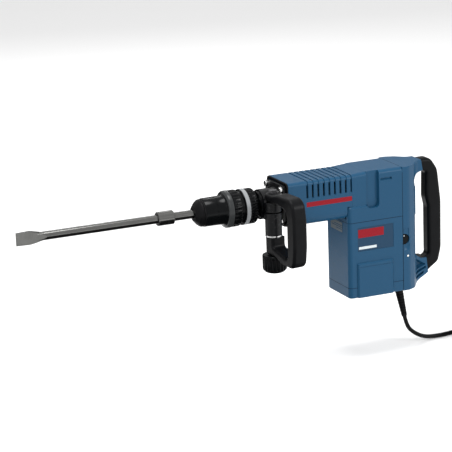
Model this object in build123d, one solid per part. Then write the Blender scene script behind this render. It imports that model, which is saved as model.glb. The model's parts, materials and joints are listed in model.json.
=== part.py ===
"""Electric demolition hammer, about 10 kg class, with a slotted 18 mm chisel.

The drawing frame has its X axis on the barrel, pointing to the rear handle,
Z up and -Y towards the side handle.  Each piece is moved on export so that the
row's origin is the middle of the rear grip.
"""

import os
from math import cos, pi, radians, sin, sqrt, tan

from build123d import *

# ---------------------------------------------------------------- clearances
RUN_GAP = 0.05  # radial clearance of a shaft, pin or slide in its bore
FACE_GAP = 0.3  # gap between moving faces, and between two covers at a seam
FIT_GAP = 0.02  # gap of a part that is seated in another one
WALL = 3.0  # plastic wall thickness

# ------------------------------------------------------- housing, outer sizes
SHROUD_LENGTH = 146.4
SHROUD_HALF_WIDTH = 49.5
SHROUD_TOP = 47.5
SHROUD_BOTTOM = -47.5
SHROUD_TOP_R = 9.0
SHROUD_BOTTOM_R = 20.0
MOTOR_FRONT = SHROUD_LENGTH - 11.0
REAR_SEAM = 263.7
MOTOR_HALF_WIDTH = 52.7
MOTOR_CORNER_R = 9.0
COVER_TOP = 50.0
LEDGE_Z = -20.5
UPPER_SEAM = -56.0
LOWER_SEAM = -197.5
BASE_Z = -220.5
BASE_EDGE_R = 3.5
FOOT_THICKNESS = 3.0

# ------------------------------------------------------------ vents and covers
VENT_COUNT = 9
VENT_FIRST = 41.0
VENT_PITCH = (SHROUD_LENGTH - 44.4) / 8
VENT_WIDTH = 4.6
VENT_LOW = 11.0
RIDGE_DEPTH = 1.6
CHANNEL_FRONT = 180.0
CHANNEL_REAR = 208.5
CHANNEL_HALF_WIDTH = 45.0
CHANNEL_BOTTOM = -29.0
SLOT_VENT = (212.0, 238.6, 27.0, 33.0)  # front, rear, bottom, top
PANEL_FRONT = 153.5
PANEL_REAR = 238.5
PANEL_TOP = -144.5
PANEL_THICKNESS = 4.2
PANEL_LIP = 9.0
LABEL_FRONT = 156.0
LABEL_REAR = 241.0
LABEL_TOP = -67.5
LABEL_BOTTOM = -119.5
LABEL_DEPTH = 0.8
SCREW_R = 4.0
SCREW_HEAD = 2.6

# ------------------------------------------------------------ rear cover, grip
BACK_FACE = 303.0
REAR_HALF_WIDTH = 43.0
ARM_HALF_WIDTH = 16.0
GRIP_OUTER = 379.5
GRIP_THICKNESS = 33.0
GRIP_HALF_WIDTH = 15.0
GRIP_MIDDLE_Z = -68.0
ARM_UPPER_JOINT = 330.0
ARM_LOWER_JOINT = 342.0
GUARD_TOP = 2.0
GUARD_BOTTOM = -68.0
GUARD_DEPTH = 11.0
GUARD_HALF_WIDTH = 17.0
ROCKER_TOP = -15.0
ROCKER_BOTTOM = -51.0
ROCKER_HALF_WIDTH = 11.0
WHEEL_X = 268.0
WHEEL_Z = -108.0
WHEEL_R = 10.5
WHEEL_THICKNESS = 6.0
LAMP_X = 275.5
LAMP_Z = -145.0
LAMP_R = 2.6

# -------------------------------------------------------------- barrel, tool holder
NECK_FRONT = -51.0
NECK_R = 26.0
RIB_R = 28.5
FLANGE_FRONT = -9.0
FLANGE_THICKNESS = 7.0
FLANGE_HALF_WIDTH = 43.0
FLANGE_HALF_HEIGHT = 41.5
FLANGE_SCREW_Y = 34.0
FLANGE_SCREW_Z = 33.0
FLANGE_SCREW_R = 6.5
FLANGE_SCREW_HEAD = 5.5
GUIDE_TUBE_R = 33.0
SHANK_R = 9.0
HOLDER_R = SHANK_R + 11.0
HOLDER_FRONT_R = SHANK_R + 8.0
HOLDER_STEP = -120.0
HOLDER_FRONT = -184.0
HOLDER_REAR = -13.0
BOLT_GUIDE_R = 12.0
SHANK_BORE_REAR = -78.0

# --------------------------------------------------------- chuck outside, back
CAP_FRONT = -193.5
CAP_FRONT_R = 15.0
CAP_REAR = -174.5
CAP_REAR_R = 28.5
SLEEVE_R = 30.2
SLEEVE_GRIP_FRONT = -128.0
SLEEVE_GRIP_REAR = -96.8
SLEEVE_GRIP_R = 38.4
SLEEVE_TRAVEL = 5.0
RING_FRONT = -89.8
RING_REAR = -52.0
RING_R = 37.2
RING_TRAVEL = 1.6
BAND_FRONT = -87.6
BAND_REAR = -79.4

# ------------------------------------------------------------------ chisel
CHISEL_TIP = -574.0
BLADE_LENGTH = 66.0
BLADE_WIDTH = 27.0
EDGE_THICKNESS = 1.2
COLLAR_FRONT = -273.0
COLLAR_REAR = -238.0
COLLAR_R = 14.6
SHANK_REAR = -95.0
CHISEL_TRAVEL = 15.0
ROLLER_R = 4.0
ROLLER_LENGTH = 20.0
ROLLER_FRONT = -158.0
ROLLER_DEPTH = 1.6  # how far a roller reaches into the shank

# ------------------------------------------------------ hammer mechanism
IMPACT_GAP = 1.5
IMPACT_HEAD_R = 12.0
IMPACT_NOSE_R = 8.5
IMPACT_TRAVEL = 8.0
CYLINDER_FRONT = -11.0
CYLINDER_REAR = 128.0
CYLINDER_BORE_R = 20.0
CYLINDER_R = 24.0
STRIKER_FRONT = -2.0
STRIKER_LENGTH = 44.0
STRIKER_TRAVEL = 18.0
PISTON_LENGTH = 36.0
CRANK_X = 176.0
CRANK_THROW = 14.0
ROD_LENGTH = 82.0
WRIST_PIN_R = 5.0
CRANK_PIN_R = 5.0
ROD_HALF_THICKNESS = 7.0
OPEN_PIVOT_GAP = 0.6  # the crank pin stops this far under the connecting rod

# -------------------------------------------------------- crankcase and motor
GEAR_MODULE = 1.25
GEAR_TEETH = 45
PINION_TEETH = 11
MOTOR_X = CRANK_X + GEAR_MODULE * (GEAR_TEETH + PINION_TEETH) / 2
GEAR_TOP = -28.0
GEAR_THICKNESS = 12.0
CASE_FRONT = MOTOR_FRONT + WALL + FACE_GAP
CASE_REAR = 238.0
CASE_HALF_WIDTH = 41.0
CASE_TOP = 38.0
CASE_FLOOR = -50.0
CASE_WALL = 5.0
STATOR_R = 45.5
STATOR_BORE_R = 27.0
STATOR_TOP = -86.0
STATOR_BOTTOM = -146.0
CORE_R = 26.4
SHAFT_R = 6.0
FAN_R = 40.0
COMMUTATOR_R = 16.0
COMMUTATOR_TOP = -153.0
COMMUTATOR_BOTTOM = -171.0
BRUSH_LENGTH = 22.0
BEARING_R = 16.0
BEARING_WIDTH = 9.0
CRANK_BEARING_R = 13.0
CRANK_BEARING_WIDTH = 8.0
CRANK_SHAFT_R = 8.5
CRANK_SHAFT_END = CASE_FLOOR - 18.0

# ----------------------------------------------------------------- side handle
CLAMP_X = -34.0
CLAMP_WIDTH = 24.0
CLAMP_R = 31.5
PIVOT_Y = -46.0
PIVOT_R = 5.0
STEM_R = 17.5
STEM_BOTTOM = -55.0
STEM_TOP = 15.0
CLAMP_SLIT = 3.0
TOOTH_RING_THICKNESS = 3.0
BOW_REST_ANGLE = 6.0
BOW_REACH = 91.0
BOW_TOP = 38.0
BOW_BOTTOM = -107.0
BOW_THICKNESS = 30.0
BOW_HALF_WIDTH = 16.5
EYE_TOP = 33.0
EYE_BOTTOM = -96.0
NUT_R = 25.5
NUT_BOTTOM = -135.0
NUT_LOBES = 12

# ------------------------------------------------------------------------ cord
CORD_D = 9.0
BOOT_X = 277.0
BOOT_LEAN = 12.0
GLAND_LENGTH = 14.0
BOOT_LENGTH = 62.0
LEAD_START = 25.0  # straight stretch of cord out of the boot
BOOT_TOP_R = 9.0
BOOT_TIP_R = 6.0
CORD_LENGTH = 4000.0
COIL_X = 465.0
COIL_Y = -45.0
COIL_MIDDLE_R = 50.0
COIL_COLUMNS = 3
COIL_LAYERS = 4
FLOOR_Z = -358.0
CORD_Z = FLOOR_Z + CORD_D / 2

PLUG_R = 18.5
PLUG_HALF_HEIGHT = 13.5
PLUG_LENGTH = 36.0
PLUG_PIN_R = 2.4
PLUG_PIN_LENGTH = 19.0
PLUG_PIN_SPACING = 19.0

# Where the grip meets the rear cover's two arms, as (x, z) points.
UPPER_JOINT_OUT = (ARM_UPPER_JOINT - 3, COVER_TOP + 1.5)
UPPER_JOINT_IN = (ARM_UPPER_JOINT + 1, 28.5)
LOWER_JOINT_OUT = (ARM_LOWER_JOINT + 1, -199.5)
LOWER_JOINT_IN = (ARM_LOWER_JOINT - 3.5, -166.0)

# The row's origin, in the drawing frame: the middle of the rear grip.
ORIGIN = Vector(GRIP_OUTER - GRIP_THICKNESS / 2, 0, GRIP_MIDDLE_Z)


# ------------------------------------------------------------------- helpers
def block(x0, x1, y0, y1, z0, z1):
    """A box from its six faces."""
    size = (x1 - x0, y1 - y0, z1 - z0)
    return Pos((x0 + x1) / 2, (y0 + y1) / 2, (z0 + z1) / 2) * Box(*size)


def rod_x(x0, x1, r, y=0.0, z=0.0):
    return Pos((x0 + x1) / 2, y, z) * Rot(0, 90, 0) * Cylinder(r, x1 - x0)


def rod_y(y0, y1, r, x=0.0, z=0.0):
    return Pos(x, (y0 + y1) / 2, z) * Rot(90, 0, 0) * Cylinder(r, y1 - y0)


def rod_z(z0, z1, r, x=0.0, y=0.0):
    return Pos(x, y, (z0 + z1) / 2) * Cylinder(r, z1 - z0)


def turned_x(*points):
    """A solid turned about the barrel axis from (x, radius) points."""
    return revolve(make_face(Polyline(*points, close=True)), Axis.X)


def outline(*corners):
    """A face from (a, b, fillet radius) corners."""
    path = FilletPolyline(*[(a, b) for a, b, _ in corners], radius=[r for *_, r in corners], close=True)
    return make_face(path)


def plan(*corners, z0, z1):
    """An (x, y, radius) outline raised from z0 to z1."""
    return extrude(Pos(0, 0, z0) * outline(*corners), z1 - z0)


def side_plan(front, rear, half_width, r_front, r_rear, z0, z1):
    """A housing block whose four upright corners are rounded."""
    w = half_width
    return plan((front, -w, r_front), (rear, -w, r_rear), (rear, w, r_rear), (front, w, r_front), z0=z0, z1=z1)


def side_profile(*corners, half_width):
    """An (x, z, radius) outline made as wide as the piece, both ways from the middle."""
    return extrude(Plane.XZ * outline(*corners), half_width, both=True)


def barrel_section(x, half_width, top, bottom, r_top, r_bottom):
    """The barrel housing's cross-section at x."""
    w = half_width
    corners = [(-w, bottom, r_bottom), (w, bottom, r_bottom), (w, top, r_top), (-w, top, r_top)]
    return Plane.YZ.offset(x) * outline(*corners)


def both_sides(shape):
    """The shape and its mirrored twin about the XZ plane."""
    return [shape, mirror(shape, Plane.XZ)]


def on_bow(shape):
    """Places a shape drawn about the handle's pivot with the bow pointing to -Y."""
    return Pos(CLAMP_X, PIVOT_Y, 0) * Rot(0, 0, BOW_REST_ANGLE) * shape


# --------------------------------------------------------------- front housing
def shroud_solid(inset, x0, x1):
    section = (
        SHROUD_HALF_WIDTH - inset,
        SHROUD_TOP - inset,
        SHROUD_BOTTOM + inset,
        SHROUD_TOP_R - inset,
        SHROUD_BOTTOM_R - inset,
    )
    return extrude(barrel_section(x0, *section), x1 - x0)


def barrel_shroud():
    body = shroud_solid(0, 0, SHROUD_LENGTH)
    frame_depth = 4.0
    body -= shroud_solid(frame_depth, -1, 2)
    body -= shroud_solid(WALL, 2, SHROUD_LENGTH + 1)
    under = block(MOTOR_FRONT - FACE_GAP, SHROUD_LENGTH + 1, -60, 60, SHROUD_BOTTOM - 1, LEDGE_Z + FACE_GAP)
    body -= under
    ridge_skin = shroud_solid(0, 0, SHROUD_LENGTH) - shroud_solid(RIDGE_DEPTH, -1, SHROUD_LENGTH + 1)
    for i in range(VENT_COUNT):
        x = VENT_FIRST + i * VENT_PITCH
        reach = SHROUD_HALF_WIDTH + 5
        ridge = block(x, x + VENT_WIDTH, -reach, reach, VENT_LOW, SHROUD_TOP + 5)
        body -= ridge & ridge_skin
        slot_top = SHROUD_TOP - SHROUD_TOP_R
        slot = block(x + 0.6, x + VENT_WIDTH - 0.6, -reach, reach, VENT_LOW + 1, slot_top)
        body -= slot
    return body


def flange_gasket():
    depth = 4.0
    ring = shroud_solid(0.6, -2.6, 0) - shroud_solid(depth, -3, 1)
    return ring


# ------------------------------------------------------------- gear cover
def gear_cover():
    front = SHROUD_LENGTH + FACE_GAP
    rear = REAR_SEAM - FACE_GAP
    floor = UPPER_SEAM + FACE_GAP / 2
    skirt = side_plan(MOTOR_FRONT, rear, MOTOR_HALF_WIDTH, MOTOR_CORNER_R, 0, floor, LEDGE_Z)
    skirt = chamfer(skirt.edges().group_by(Axis.Z)[-1].filter_by(lambda e: e.center().X < rear - 1), 4)
    lower_section = [
        barrel_section(x, SHROUD_HALF_WIDTH, top, LEDGE_Z - 10, SHROUD_TOP_R, 1.0)
        for x, top in ((front, SHROUD_TOP), (CHANNEL_FRONT, COVER_TOP))
    ]
    neck = loft(lower_section)
    head = extrude(
        barrel_section(CHANNEL_FRONT, MOTOR_HALF_WIDTH, COVER_TOP, floor, SHROUD_TOP_R, 0.0),
        rear - CHANNEL_FRONT,
    )
    body = skirt + neck + head
    middle = (CHANNEL_FRONT + CHANNEL_REAR) / 2
    half = (CHANNEL_REAR - CHANNEL_FRONT) / 2
    channel = Plane.XZ * outline(
        (middle - half, CHANNEL_BOTTOM, 9),
        (middle + half, CHANNEL_BOTTOM, 9),
        (middle + half, COVER_TOP + 5, 0),
        (middle - half, COVER_TOP + 5, 0),
    )
    for side in (-1, 1):
        cut = extrude(channel, -side * 20)
        body -= Pos(0, side * CHANNEL_HALF_WIDTH, 0) * cut
    inner = CHANNEL_HALF_WIDTH - WALL
    roof = COVER_TOP - WALL
    body -= block(front + 20, rear - WALL - 8, -inner, inner, floor - 1, roof)
    body -= block(MOTOR_FRONT - 1, front + 21, -inner, inner, floor - 1, SHROUD_TOP - WALL)
    x0, x1, z0, z1 = SLOT_VENT
    slot = block(x0, x1, -MOTOR_HALF_WIDTH - 1, -MOTOR_HALF_WIDTH + 3.5, z0, z1)
    slot = chamfer(slot.edges().filter_by(Axis.X).group_by(Axis.Y)[-1].group_by(Axis.Z)[0], 3.4)
    for cut in both_sides(slot):
        body -= cut
    # the shroud's rear edge slides over this front end
    body -= shroud_solid(-1, MOTOR_FRONT - 1, front) & block(
        MOTOR_FRONT - 2, front, -60, 60, LEDGE_Z + FACE_GAP / 2, SHROUD_TOP + 2
    )
    return body


# ---------------------------------------------------------------- motor housing
def motor_housing():
    top = UPPER_SEAM - FACE_GAP / 2
    bottom = LOWER_SEAM + FACE_GAP / 2
    rear = REAR_SEAM - FACE_GAP
    body = side_plan(MOTOR_FRONT, rear, MOTOR_HALF_WIDTH, MOTOR_CORNER_R, 1.0, bottom, top)
    body -= side_plan(
        MOTOR_FRONT + WALL,
        rear - WALL,
        MOTOR_HALF_WIDTH - WALL,
        MOTOR_CORNER_R - WALL,
        1.0,
        bottom - 1,
        top + 1,
    )
    seat_r = STATOR_R + FIT_GAP
    for y in (-1, 1):
        for z0, z1 in ((STATOR_TOP - 14, STATOR_TOP), (STATOR_BOTTOM, STATOR_BOTTOM + 14)):
            w = MOTOR_HALF_WIDTH - WALL + 0.5
            rib = block(MOTOR_FRONT + WALL + 4, rear - WALL, min(0, y * w), max(0, y * w), z0, z1)
            body += rib - rod_z(z0 - 1, z1 + 1, seat_r, MOTOR_X, 0)
    for side in (-1, 1):
        w = MOTOR_HALF_WIDTH
        y0, y1 = sorted((side * w, side * (w - LABEL_DEPTH)))
        body -= block(LABEL_FRONT, LABEL_REAR, y0, y1, LABEL_BOTTOM, LABEL_TOP)
        y0, y1 = sorted((side * (w + 1), side * (w - WALL - 1)))
        body -= block(MOTOR_X - 22, MOTOR_X + 22, y0, y1, COMMUTATOR_BOTTOM - 9, COMMUTATOR_TOP + 3)
    pocket = WHEEL_R + 1.5
    wall_y = -MOTOR_HALF_WIDTH + WALL
    body -= block(WHEEL_X - pocket, rear + 1, wall_y, -30, WHEEL_Z - pocket, WHEEL_Z + pocket)
    return body


def bottom_cap():
    top = LOWER_SEAM - FACE_GAP / 2
    rear = REAR_SEAM - FACE_GAP
    body = side_plan(MOTOR_FRONT, rear, MOTOR_HALF_WIDTH, MOTOR_CORNER_R, 1.0, BASE_Z, top)
    edges = body.edges().group_by(Axis.Z)[0].filter_by(lambda e: e.center().X < rear - 1)
    body = fillet(edges, BASE_EDGE_R)
    body -= side_plan(
        MOTOR_FRONT + WALL,
        rear - WALL,
        MOTOR_HALF_WIDTH - WALL,
        MOTOR_CORNER_R - WALL,
        1.0,
        BASE_Z + BASE_EDGE_R,
        top + 1,
    )
    seat_top = COMMUTATOR_BOTTOM - 12
    body += rod_z(BASE_Z + 1, seat_top, BEARING_R + 4, MOTOR_X)
    body -= rod_z(seat_top - BEARING_WIDTH, seat_top + 1, BEARING_R + FIT_GAP, MOTOR_X)
    body -= rod_z(seat_top - BEARING_WIDTH - 5, seat_top, SHAFT_R + 4, MOTOR_X)
    return body


def foot_pad():
    pad = side_plan(160, 214, 34, 6, 6, BASE_Z - FOOT_THICKNESS, BASE_Z)
    return fillet(pad.edges().group_by(Axis.Z)[0], 1.5)


def side_panel(side):
    w = MOTOR_HALF_WIDTH
    t = PANEL_THICKNESS
    body = block(PANEL_FRONT, PANEL_REAR, -w - t, -w, BASE_Z + 1, PANEL_TOP)
    outer = body.edges().filter_by(lambda e: e.center().Y < -w - t + 0.01)
    body = chamfer(outer.group_by(Axis.Z)[-1] + outer.filter_by(Axis.Z), t - 1.2)
    lip = PANEL_TOP - PANEL_LIP
    body -= block(PANEL_FRONT - 1, PANEL_REAR + 1, -w - t - 1, -w - t + 0.6, lip, lip + 1.2)
    return body if side < 0 else mirror(body, Plane.XZ)


def screw_heads_on_y(places, face_y):
    """Round screw heads with a star socket, standing on a side face."""
    heads = []
    for x, z in places:
        y0, y1 = sorted((face_y, face_y + SCREW_HEAD * (1 if face_y > 0 else -1)))
        head = rod_y(y0, y1, SCREW_R, x, z)
        tip = face_y + SCREW_HEAD * (1 if face_y > 0 else -1)
        c0, c1 = sorted((tip, tip - (1.4 if face_y > 0 else -1.4)))
        socket = block(x - 2, x + 2, c0, c1, z - 0.6, z + 0.6) + block(x - 0.6, x + 0.6, c0, c1, z - 2, z + 2)
        heads.append(head - socket)
    return heads


# -------------------------------------------------------------------- rear cover
def rear_side():
    """The rear cover seen from the side, with its two arms."""
    return side_profile(
        (REAR_SEAM, BASE_Z, 0),
        (BACK_FACE - 4, BASE_Z, 6),
        (*LOWER_JOINT_OUT, 0),
        (*LOWER_JOINT_IN, 0),
        (BACK_FACE + 22, -165.5, 8),
        (BACK_FACE, -151, 6),
        (BACK_FACE, 4, 3),
        (BACK_FACE - 6, 13, 8),
        (BACK_FACE + 12, 24, 14),
        (*UPPER_JOINT_IN, 0),
        (*UPPER_JOINT_OUT, 0),
        (REAR_SEAM + 20, COVER_TOP, 60),
        (REAR_SEAM, COVER_TOP, 0),
        half_width=MOTOR_HALF_WIDTH + 1,
    )


def rear_plan():
    w, n, a = MOTOR_HALF_WIDTH, REAR_HALF_WIDTH, ARM_HALF_WIDTH
    right = [
        (REAR_SEAM, -w, 0),
        (REAR_SEAM + 15, -w, 22),
        (BACK_FACE - 7, -n, 17),
        (BACK_FACE + 10, -a - 6, 22),
        (ARM_LOWER_JOINT + 12, -a, 0),
    ]
    left = [(x, -y, r) for x, y, r in reversed(right)]
    return plan(*right, *left, z0=BASE_Z - 1, z1=COVER_TOP + 3)


def louvres():
    """Three scoops in each side of the lower arm, with fins between them that rise to the rear."""
    start = -ARM_HALF_WIDTH - 1
    scoops = (
        ((309, -163), (333, -178), (336, -181), (309, -188.5)),
        ((307.5, -191.5), (337, -184), (337, -189), (307.5, -198.5)),
        ((307.5, -202.5), (331, -194.5), (330, -200), (307.5, -209.5)),
    )
    cuts = []
    for corners, depth, slope in zip(scoops, (4.5, 3.5, 3.5), (40, 30, 30)):
        face = Plane.XZ.offset(-start) * make_face(Polyline(*corners, close=True))
        cut = extrude(face, 40) + extrude(face, -depth, taper=slope)
        cuts += both_sides(cut)
    return cuts


def grip_foot():
    """The grip's overmould, run forward over the top of the lower arm."""
    return side_profile(
        (BACK_FACE + 3, -152.4, 0),
        (BACK_FACE + 22, -165.0, 8),
        (LOWER_JOINT_IN[0] + 1, LOWER_JOINT_IN[1], 0),
        (LOWER_JOINT_IN[0] + 2.5, -175.0, 0),
        (LOWER_JOINT_IN[0] + 0.5, -176.4, 0),
        (BACK_FACE + 3, -154.8, 0),
        half_width=ARM_HALF_WIDTH + 0.5,
    )


def rear_cover():
    body = rear_side() & rear_plan()
    guard = side_profile(
        (BACK_FACE - 6, GUARD_BOTTOM - 8, 0),
        (BACK_FACE + GUARD_DEPTH, GUARD_BOTTOM, 5),
        (BACK_FACE + GUARD_DEPTH, GUARD_TOP - 6, 5),
        (BACK_FACE - 6, GUARD_TOP + 2, 0),
        half_width=GUARD_HALF_WIDTH,
    )
    body += guard
    inner_w = REAR_HALF_WIDTH - 2 * WALL
    body -= block(REAR_SEAM - 1, BACK_FACE - 9, -inner_w, inner_w, BASE_Z + 8, COVER_TOP - 2 * WALL)
    # pocket of the rocker switch, open to the hand
    body -= block(
        BACK_FACE - 20,
        BACK_FACE + GUARD_DEPTH + 1,
        -ROCKER_HALF_WIDTH - 0.6,
        ROCKER_HALF_WIDTH + 0.6,
        ROCKER_BOTTOM - 1,
        ROCKER_TOP + 1,
    )
    # recess that shows the speed wheel, and the lamp's hole
    face = -MOTOR_HALF_WIDTH
    recess = WHEEL_R + 1.2
    opening = rod_y(face - 1, face + 18, recess, WHEEL_X, WHEEL_Z)
    opening += block(REAR_SEAM - 1, WHEEL_X, face - 1, face + 18, WHEEL_Z - recess, WHEEL_Z + recess)
    body -= opening
    body -= block(REAR_SEAM - 1, REAR_SEAM + 14, face - 1, face + 1.5, WHEEL_Z + 4, WHEEL_Z + 24)
    body -= Pos(WHEEL_X + 4, face - 14, WHEEL_Z - 15) * Sphere(18)
    body -= rod_y(face - 1, face + 12, LAMP_R + FIT_GAP, LAMP_X, LAMP_Z)
    # gland hole, along the boot
    body -= boot_place() * rod_z(-4, 30, BOOT_TOP_R + 1.5 + FIT_GAP)
    for louvre in louvres():
        body -= louvre
    return body - grip_foot()


def rear_grip():
    outer = GRIP_OUTER
    inner = outer - GRIP_THICKNESS
    body = side_profile(
        (*UPPER_JOINT_OUT, 0),
        (outer - 26, COVER_TOP + 2, 22),
        (outer - 8, 25, 40),
        (outer, -45, 120),
        (outer - 0.5, -150, 60),
        (outer - 8, -180, 16),
        (*LOWER_JOINT_OUT, 0),
        (*LOWER_JOINT_IN, 0),
        (inner + 0.5, -161, 8),
        (inner, -148, 20),
        (inner, -56, 30),
        (inner - 5, -34, 30),
        (inner - 4, 21, 7),
        (*UPPER_JOINT_IN, 0),
        half_width=GRIP_HALF_WIDTH,
    )
    sides = body.edges().filter_by(lambda e: abs(abs(e.center().Y) - GRIP_HALF_WIDTH) < 0.01)
    upper = (UPPER_JOINT_IN[0] + UPPER_JOINT_OUT[0]) / 2
    lower = (LOWER_JOINT_IN[0] + LOWER_JOINT_OUT[0]) / 2
    joints = sides.filter_by(lambda e: min(abs(e.center().X - upper), abs(e.center().X - lower)) < 0.01)
    return fillet(sides - joints, 8) + grip_foot()


def switch_rocker():
    """Rocks about a pin across the tool, behind the guard's face."""
    pivot_z = (ROCKER_TOP + ROCKER_BOTTOM) / 2
    face = BACK_FACE + GUARD_DEPTH - 4
    half = (ROCKER_TOP - ROCKER_BOTTOM) / 2 - FACE_GAP
    body = side_profile(
        (face - 8, pivot_z - half + 3, 2),
        (face + 2.5, pivot_z - half + 1.5, 1.5),
        (face, pivot_z, 40),
        (face + 2.5, pivot_z + half - 1.5, 1.5),
        (face - 8, pivot_z + half - 3, 2),
        half_width=ROCKER_HALF_WIDTH,
    )
    return body - rod_y(-20, 20, 1.5 + RUN_GAP, face - 5, pivot_z)


def switch_body():
    pivot_z = (ROCKER_TOP + ROCKER_BOTTOM) / 2
    face = BACK_FACE + GUARD_DEPTH - 4
    reach = ROCKER_HALF_WIDTH + 0.55
    pin = rod_y(-reach, reach, 1.5, face - 5, pivot_z)
    box = block(BACK_FACE - 34, BACK_FACE - 12, -10, 10, pivot_z - 15, pivot_z + 15)
    post = block(BACK_FACE - 13, BACK_FACE - 9.5, -5, 5, pivot_z - 3, pivot_z + 3)
    return [pin, box + post]


def speed_wheel():
    y0 = -MOTOR_HALF_WIDTH + WALL + FACE_GAP
    wheel = rod_y(y0, y0 + WHEEL_THICKNESS, WHEEL_R, WHEEL_X, WHEEL_Z)
    for i in range(24):
        a = 2 * pi * i / 24
        x, z = WHEEL_X + WHEEL_R * cos(a), WHEEL_Z + WHEEL_R * sin(a)
        wheel -= rod_y(y0 - 1, y0 + WHEEL_THICKNESS + 1, 0.7, x, z)
    wheel -= rod_y(y0 + 2, y0 + WHEEL_THICKNESS + 1, 2.0 + RUN_GAP, WHEEL_X, WHEEL_Z)
    return wheel


def speed_dial_base():
    """The potentiometer with the spindle that carries the wheel."""
    y0 = -MOTOR_HALF_WIDTH + WALL + FACE_GAP
    spindle = rod_y(y0 + 2.3, y0 + WHEEL_THICKNESS + 2, 2.0, WHEEL_X, WHEEL_Z)
    y1 = y0 + WHEEL_THICKNESS + 1
    body = block(WHEEL_X - 4, WHEEL_X + 8, y1, y1 + 6, WHEEL_Z - 7.5, WHEEL_Z + 7.5)
    return body + spindle


def control_module():
    return block(REAR_SEAM + 4, REAR_SEAM + 22, -26, 26, BASE_Z + 30, BASE_Z + 72)


def service_lamp():
    face = -MOTOR_HALF_WIDTH
    stem = rod_y(face + 2.2, face + 9, LAMP_R, LAMP_X, LAMP_Z)
    dome = Pos(LAMP_X, face + 2.2, LAMP_Z) * Sphere(LAMP_R)
    return stem + dome


# --------------------------------------------------------------- barrel and chuck
def barrel_casting():
    """Cast barrel: ribbed neck, square flange and the tube round the cylinder."""
    neck_bore = HOLDER_R + RUN_GAP
    rib_corners = []
    x = NECK_FRONT
    while x < NECK_FRONT + 4:
        rib_corners += [(x, RIB_R), (x + 1.6, RIB_R), (x + 1.6, NECK_R), (x + 2.4, NECK_R)]
        x += 2.4
    clamp_front = CLAMP_X - CLAMP_WIDTH / 2 - FACE_GAP
    clamp_rear = CLAMP_X + CLAMP_WIDTH / 2 + FACE_GAP
    body = turned_x(
        (NECK_FRONT, neck_bore),
        (NECK_FRONT, RIB_R - 2),
        *[(x, r) for x, r in rib_corners if x <= clamp_front],
        (clamp_front, NECK_R),
        (clamp_rear, NECK_R),
        (clamp_rear, RIB_R),
        (FLANGE_FRONT, RIB_R + 4),
        (FLANGE_FRONT, GUIDE_TUBE_R),
        (CASE_FRONT - FIT_GAP, GUIDE_TUBE_R),
        (CASE_FRONT - FIT_GAP, CYLINDER_R + FIT_GAP),
        (CYLINDER_FRONT - FIT_GAP, CYLINDER_R + FIT_GAP),
        (CYLINDER_FRONT - FIT_GAP, neck_bore),
    )
    w, h = FLANGE_HALF_WIDTH, FLANGE_HALF_HEIGHT
    plate = Plane.YZ.offset(FLANGE_FRONT) * outline((-w, -h, 12), (w, -h, 12), (w, h, 12), (-w, h, 12))
    plate = extrude(plate, FLANGE_THICKNESS)
    plate -= rod_x(FLANGE_FRONT - 1, FLANGE_FRONT + FLANGE_THICKNESS + 1, GUIDE_TUBE_R - 1)
    return body + plate


def flange_screws():
    """Four socket screws and the lifting ear's bolt on the flange."""
    screws = []
    for y in (-FLANGE_SCREW_Y, FLANGE_SCREW_Y):
        for z in (-FLANGE_SCREW_Z, FLANGE_SCREW_Z):
            front = FLANGE_FRONT - FLANGE_SCREW_HEAD
            head = rod_x(front, FLANGE_FRONT, FLANGE_SCREW_R, y, z)
            head = fillet(head.edges().group_by(Axis.X)[0], 1.2)
            socket = Plane.YZ.offset(front) * Pos(y, z) * RegularPolygon(3.4, 6)
            screws.append(head - extrude(socket, 4))
    return screws


def tool_holder():
    bore = SHANK_R + RUN_GAP
    guide = BOLT_GUIDE_R + RUN_GAP
    body = turned_x(
        (HOLDER_FRONT, bore),
        (HOLDER_FRONT, HOLDER_FRONT_R),
        (HOLDER_STEP, HOLDER_FRONT_R),
        (HOLDER_STEP, HOLDER_R),
        (HOLDER_REAR, HOLDER_R),
        (HOLDER_REAR, guide),
        (SHANK_BORE_REAR, guide),
        (SHANK_BORE_REAR, bore),
    )
    reach = SHANK_R - ROLLER_DEPTH
    for side in (-1, 1):
        z0, z1 = sorted((side * (reach - 0.2), side * (HOLDER_FRONT_R + 1)))
        half = ROLLER_R + FIT_GAP
        body -= block(ROLLER_FRONT - FIT_GAP, ROLLER_FRONT + ROLLER_LENGTH + FIT_GAP, -half, half, z0, z1)
    return body


def locking_rollers():
    z = SHANK_R - ROLLER_DEPTH + ROLLER_R
    return [rod_x(ROLLER_FRONT, ROLLER_FRONT + ROLLER_LENGTH, ROLLER_R, 0, side * z) for side in (-1, 1)]


def dust_cap():
    seat = HOLDER_FRONT_R - 2
    return turned_x(
        (CAP_FRONT, SHANK_R + 0.4),
        (CAP_FRONT, CAP_FRONT_R),
        (CAP_FRONT + 1.2, CAP_FRONT_R + 1.6),
        (CAP_FRONT + 7, CAP_REAR_R - 5),
        (CAP_FRONT + 12, CAP_REAR_R - 1),
        (CAP_REAR - 4.5, CAP_REAR_R),
        (CAP_REAR - 3.5, CAP_REAR_R - 1.2),
        (CAP_REAR - 2.5, CAP_REAR_R),
        (CAP_REAR, CAP_REAR_R),
        (CAP_REAR, HOLDER_FRONT_R + FIT_GAP),
        (HOLDER_FRONT, HOLDER_FRONT_R + FIT_GAP),
        (HOLDER_FRONT, seat),
        (CAP_FRONT + 4, seat),
        (CAP_FRONT + 4, SHANK_R + 0.4),
    )


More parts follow.
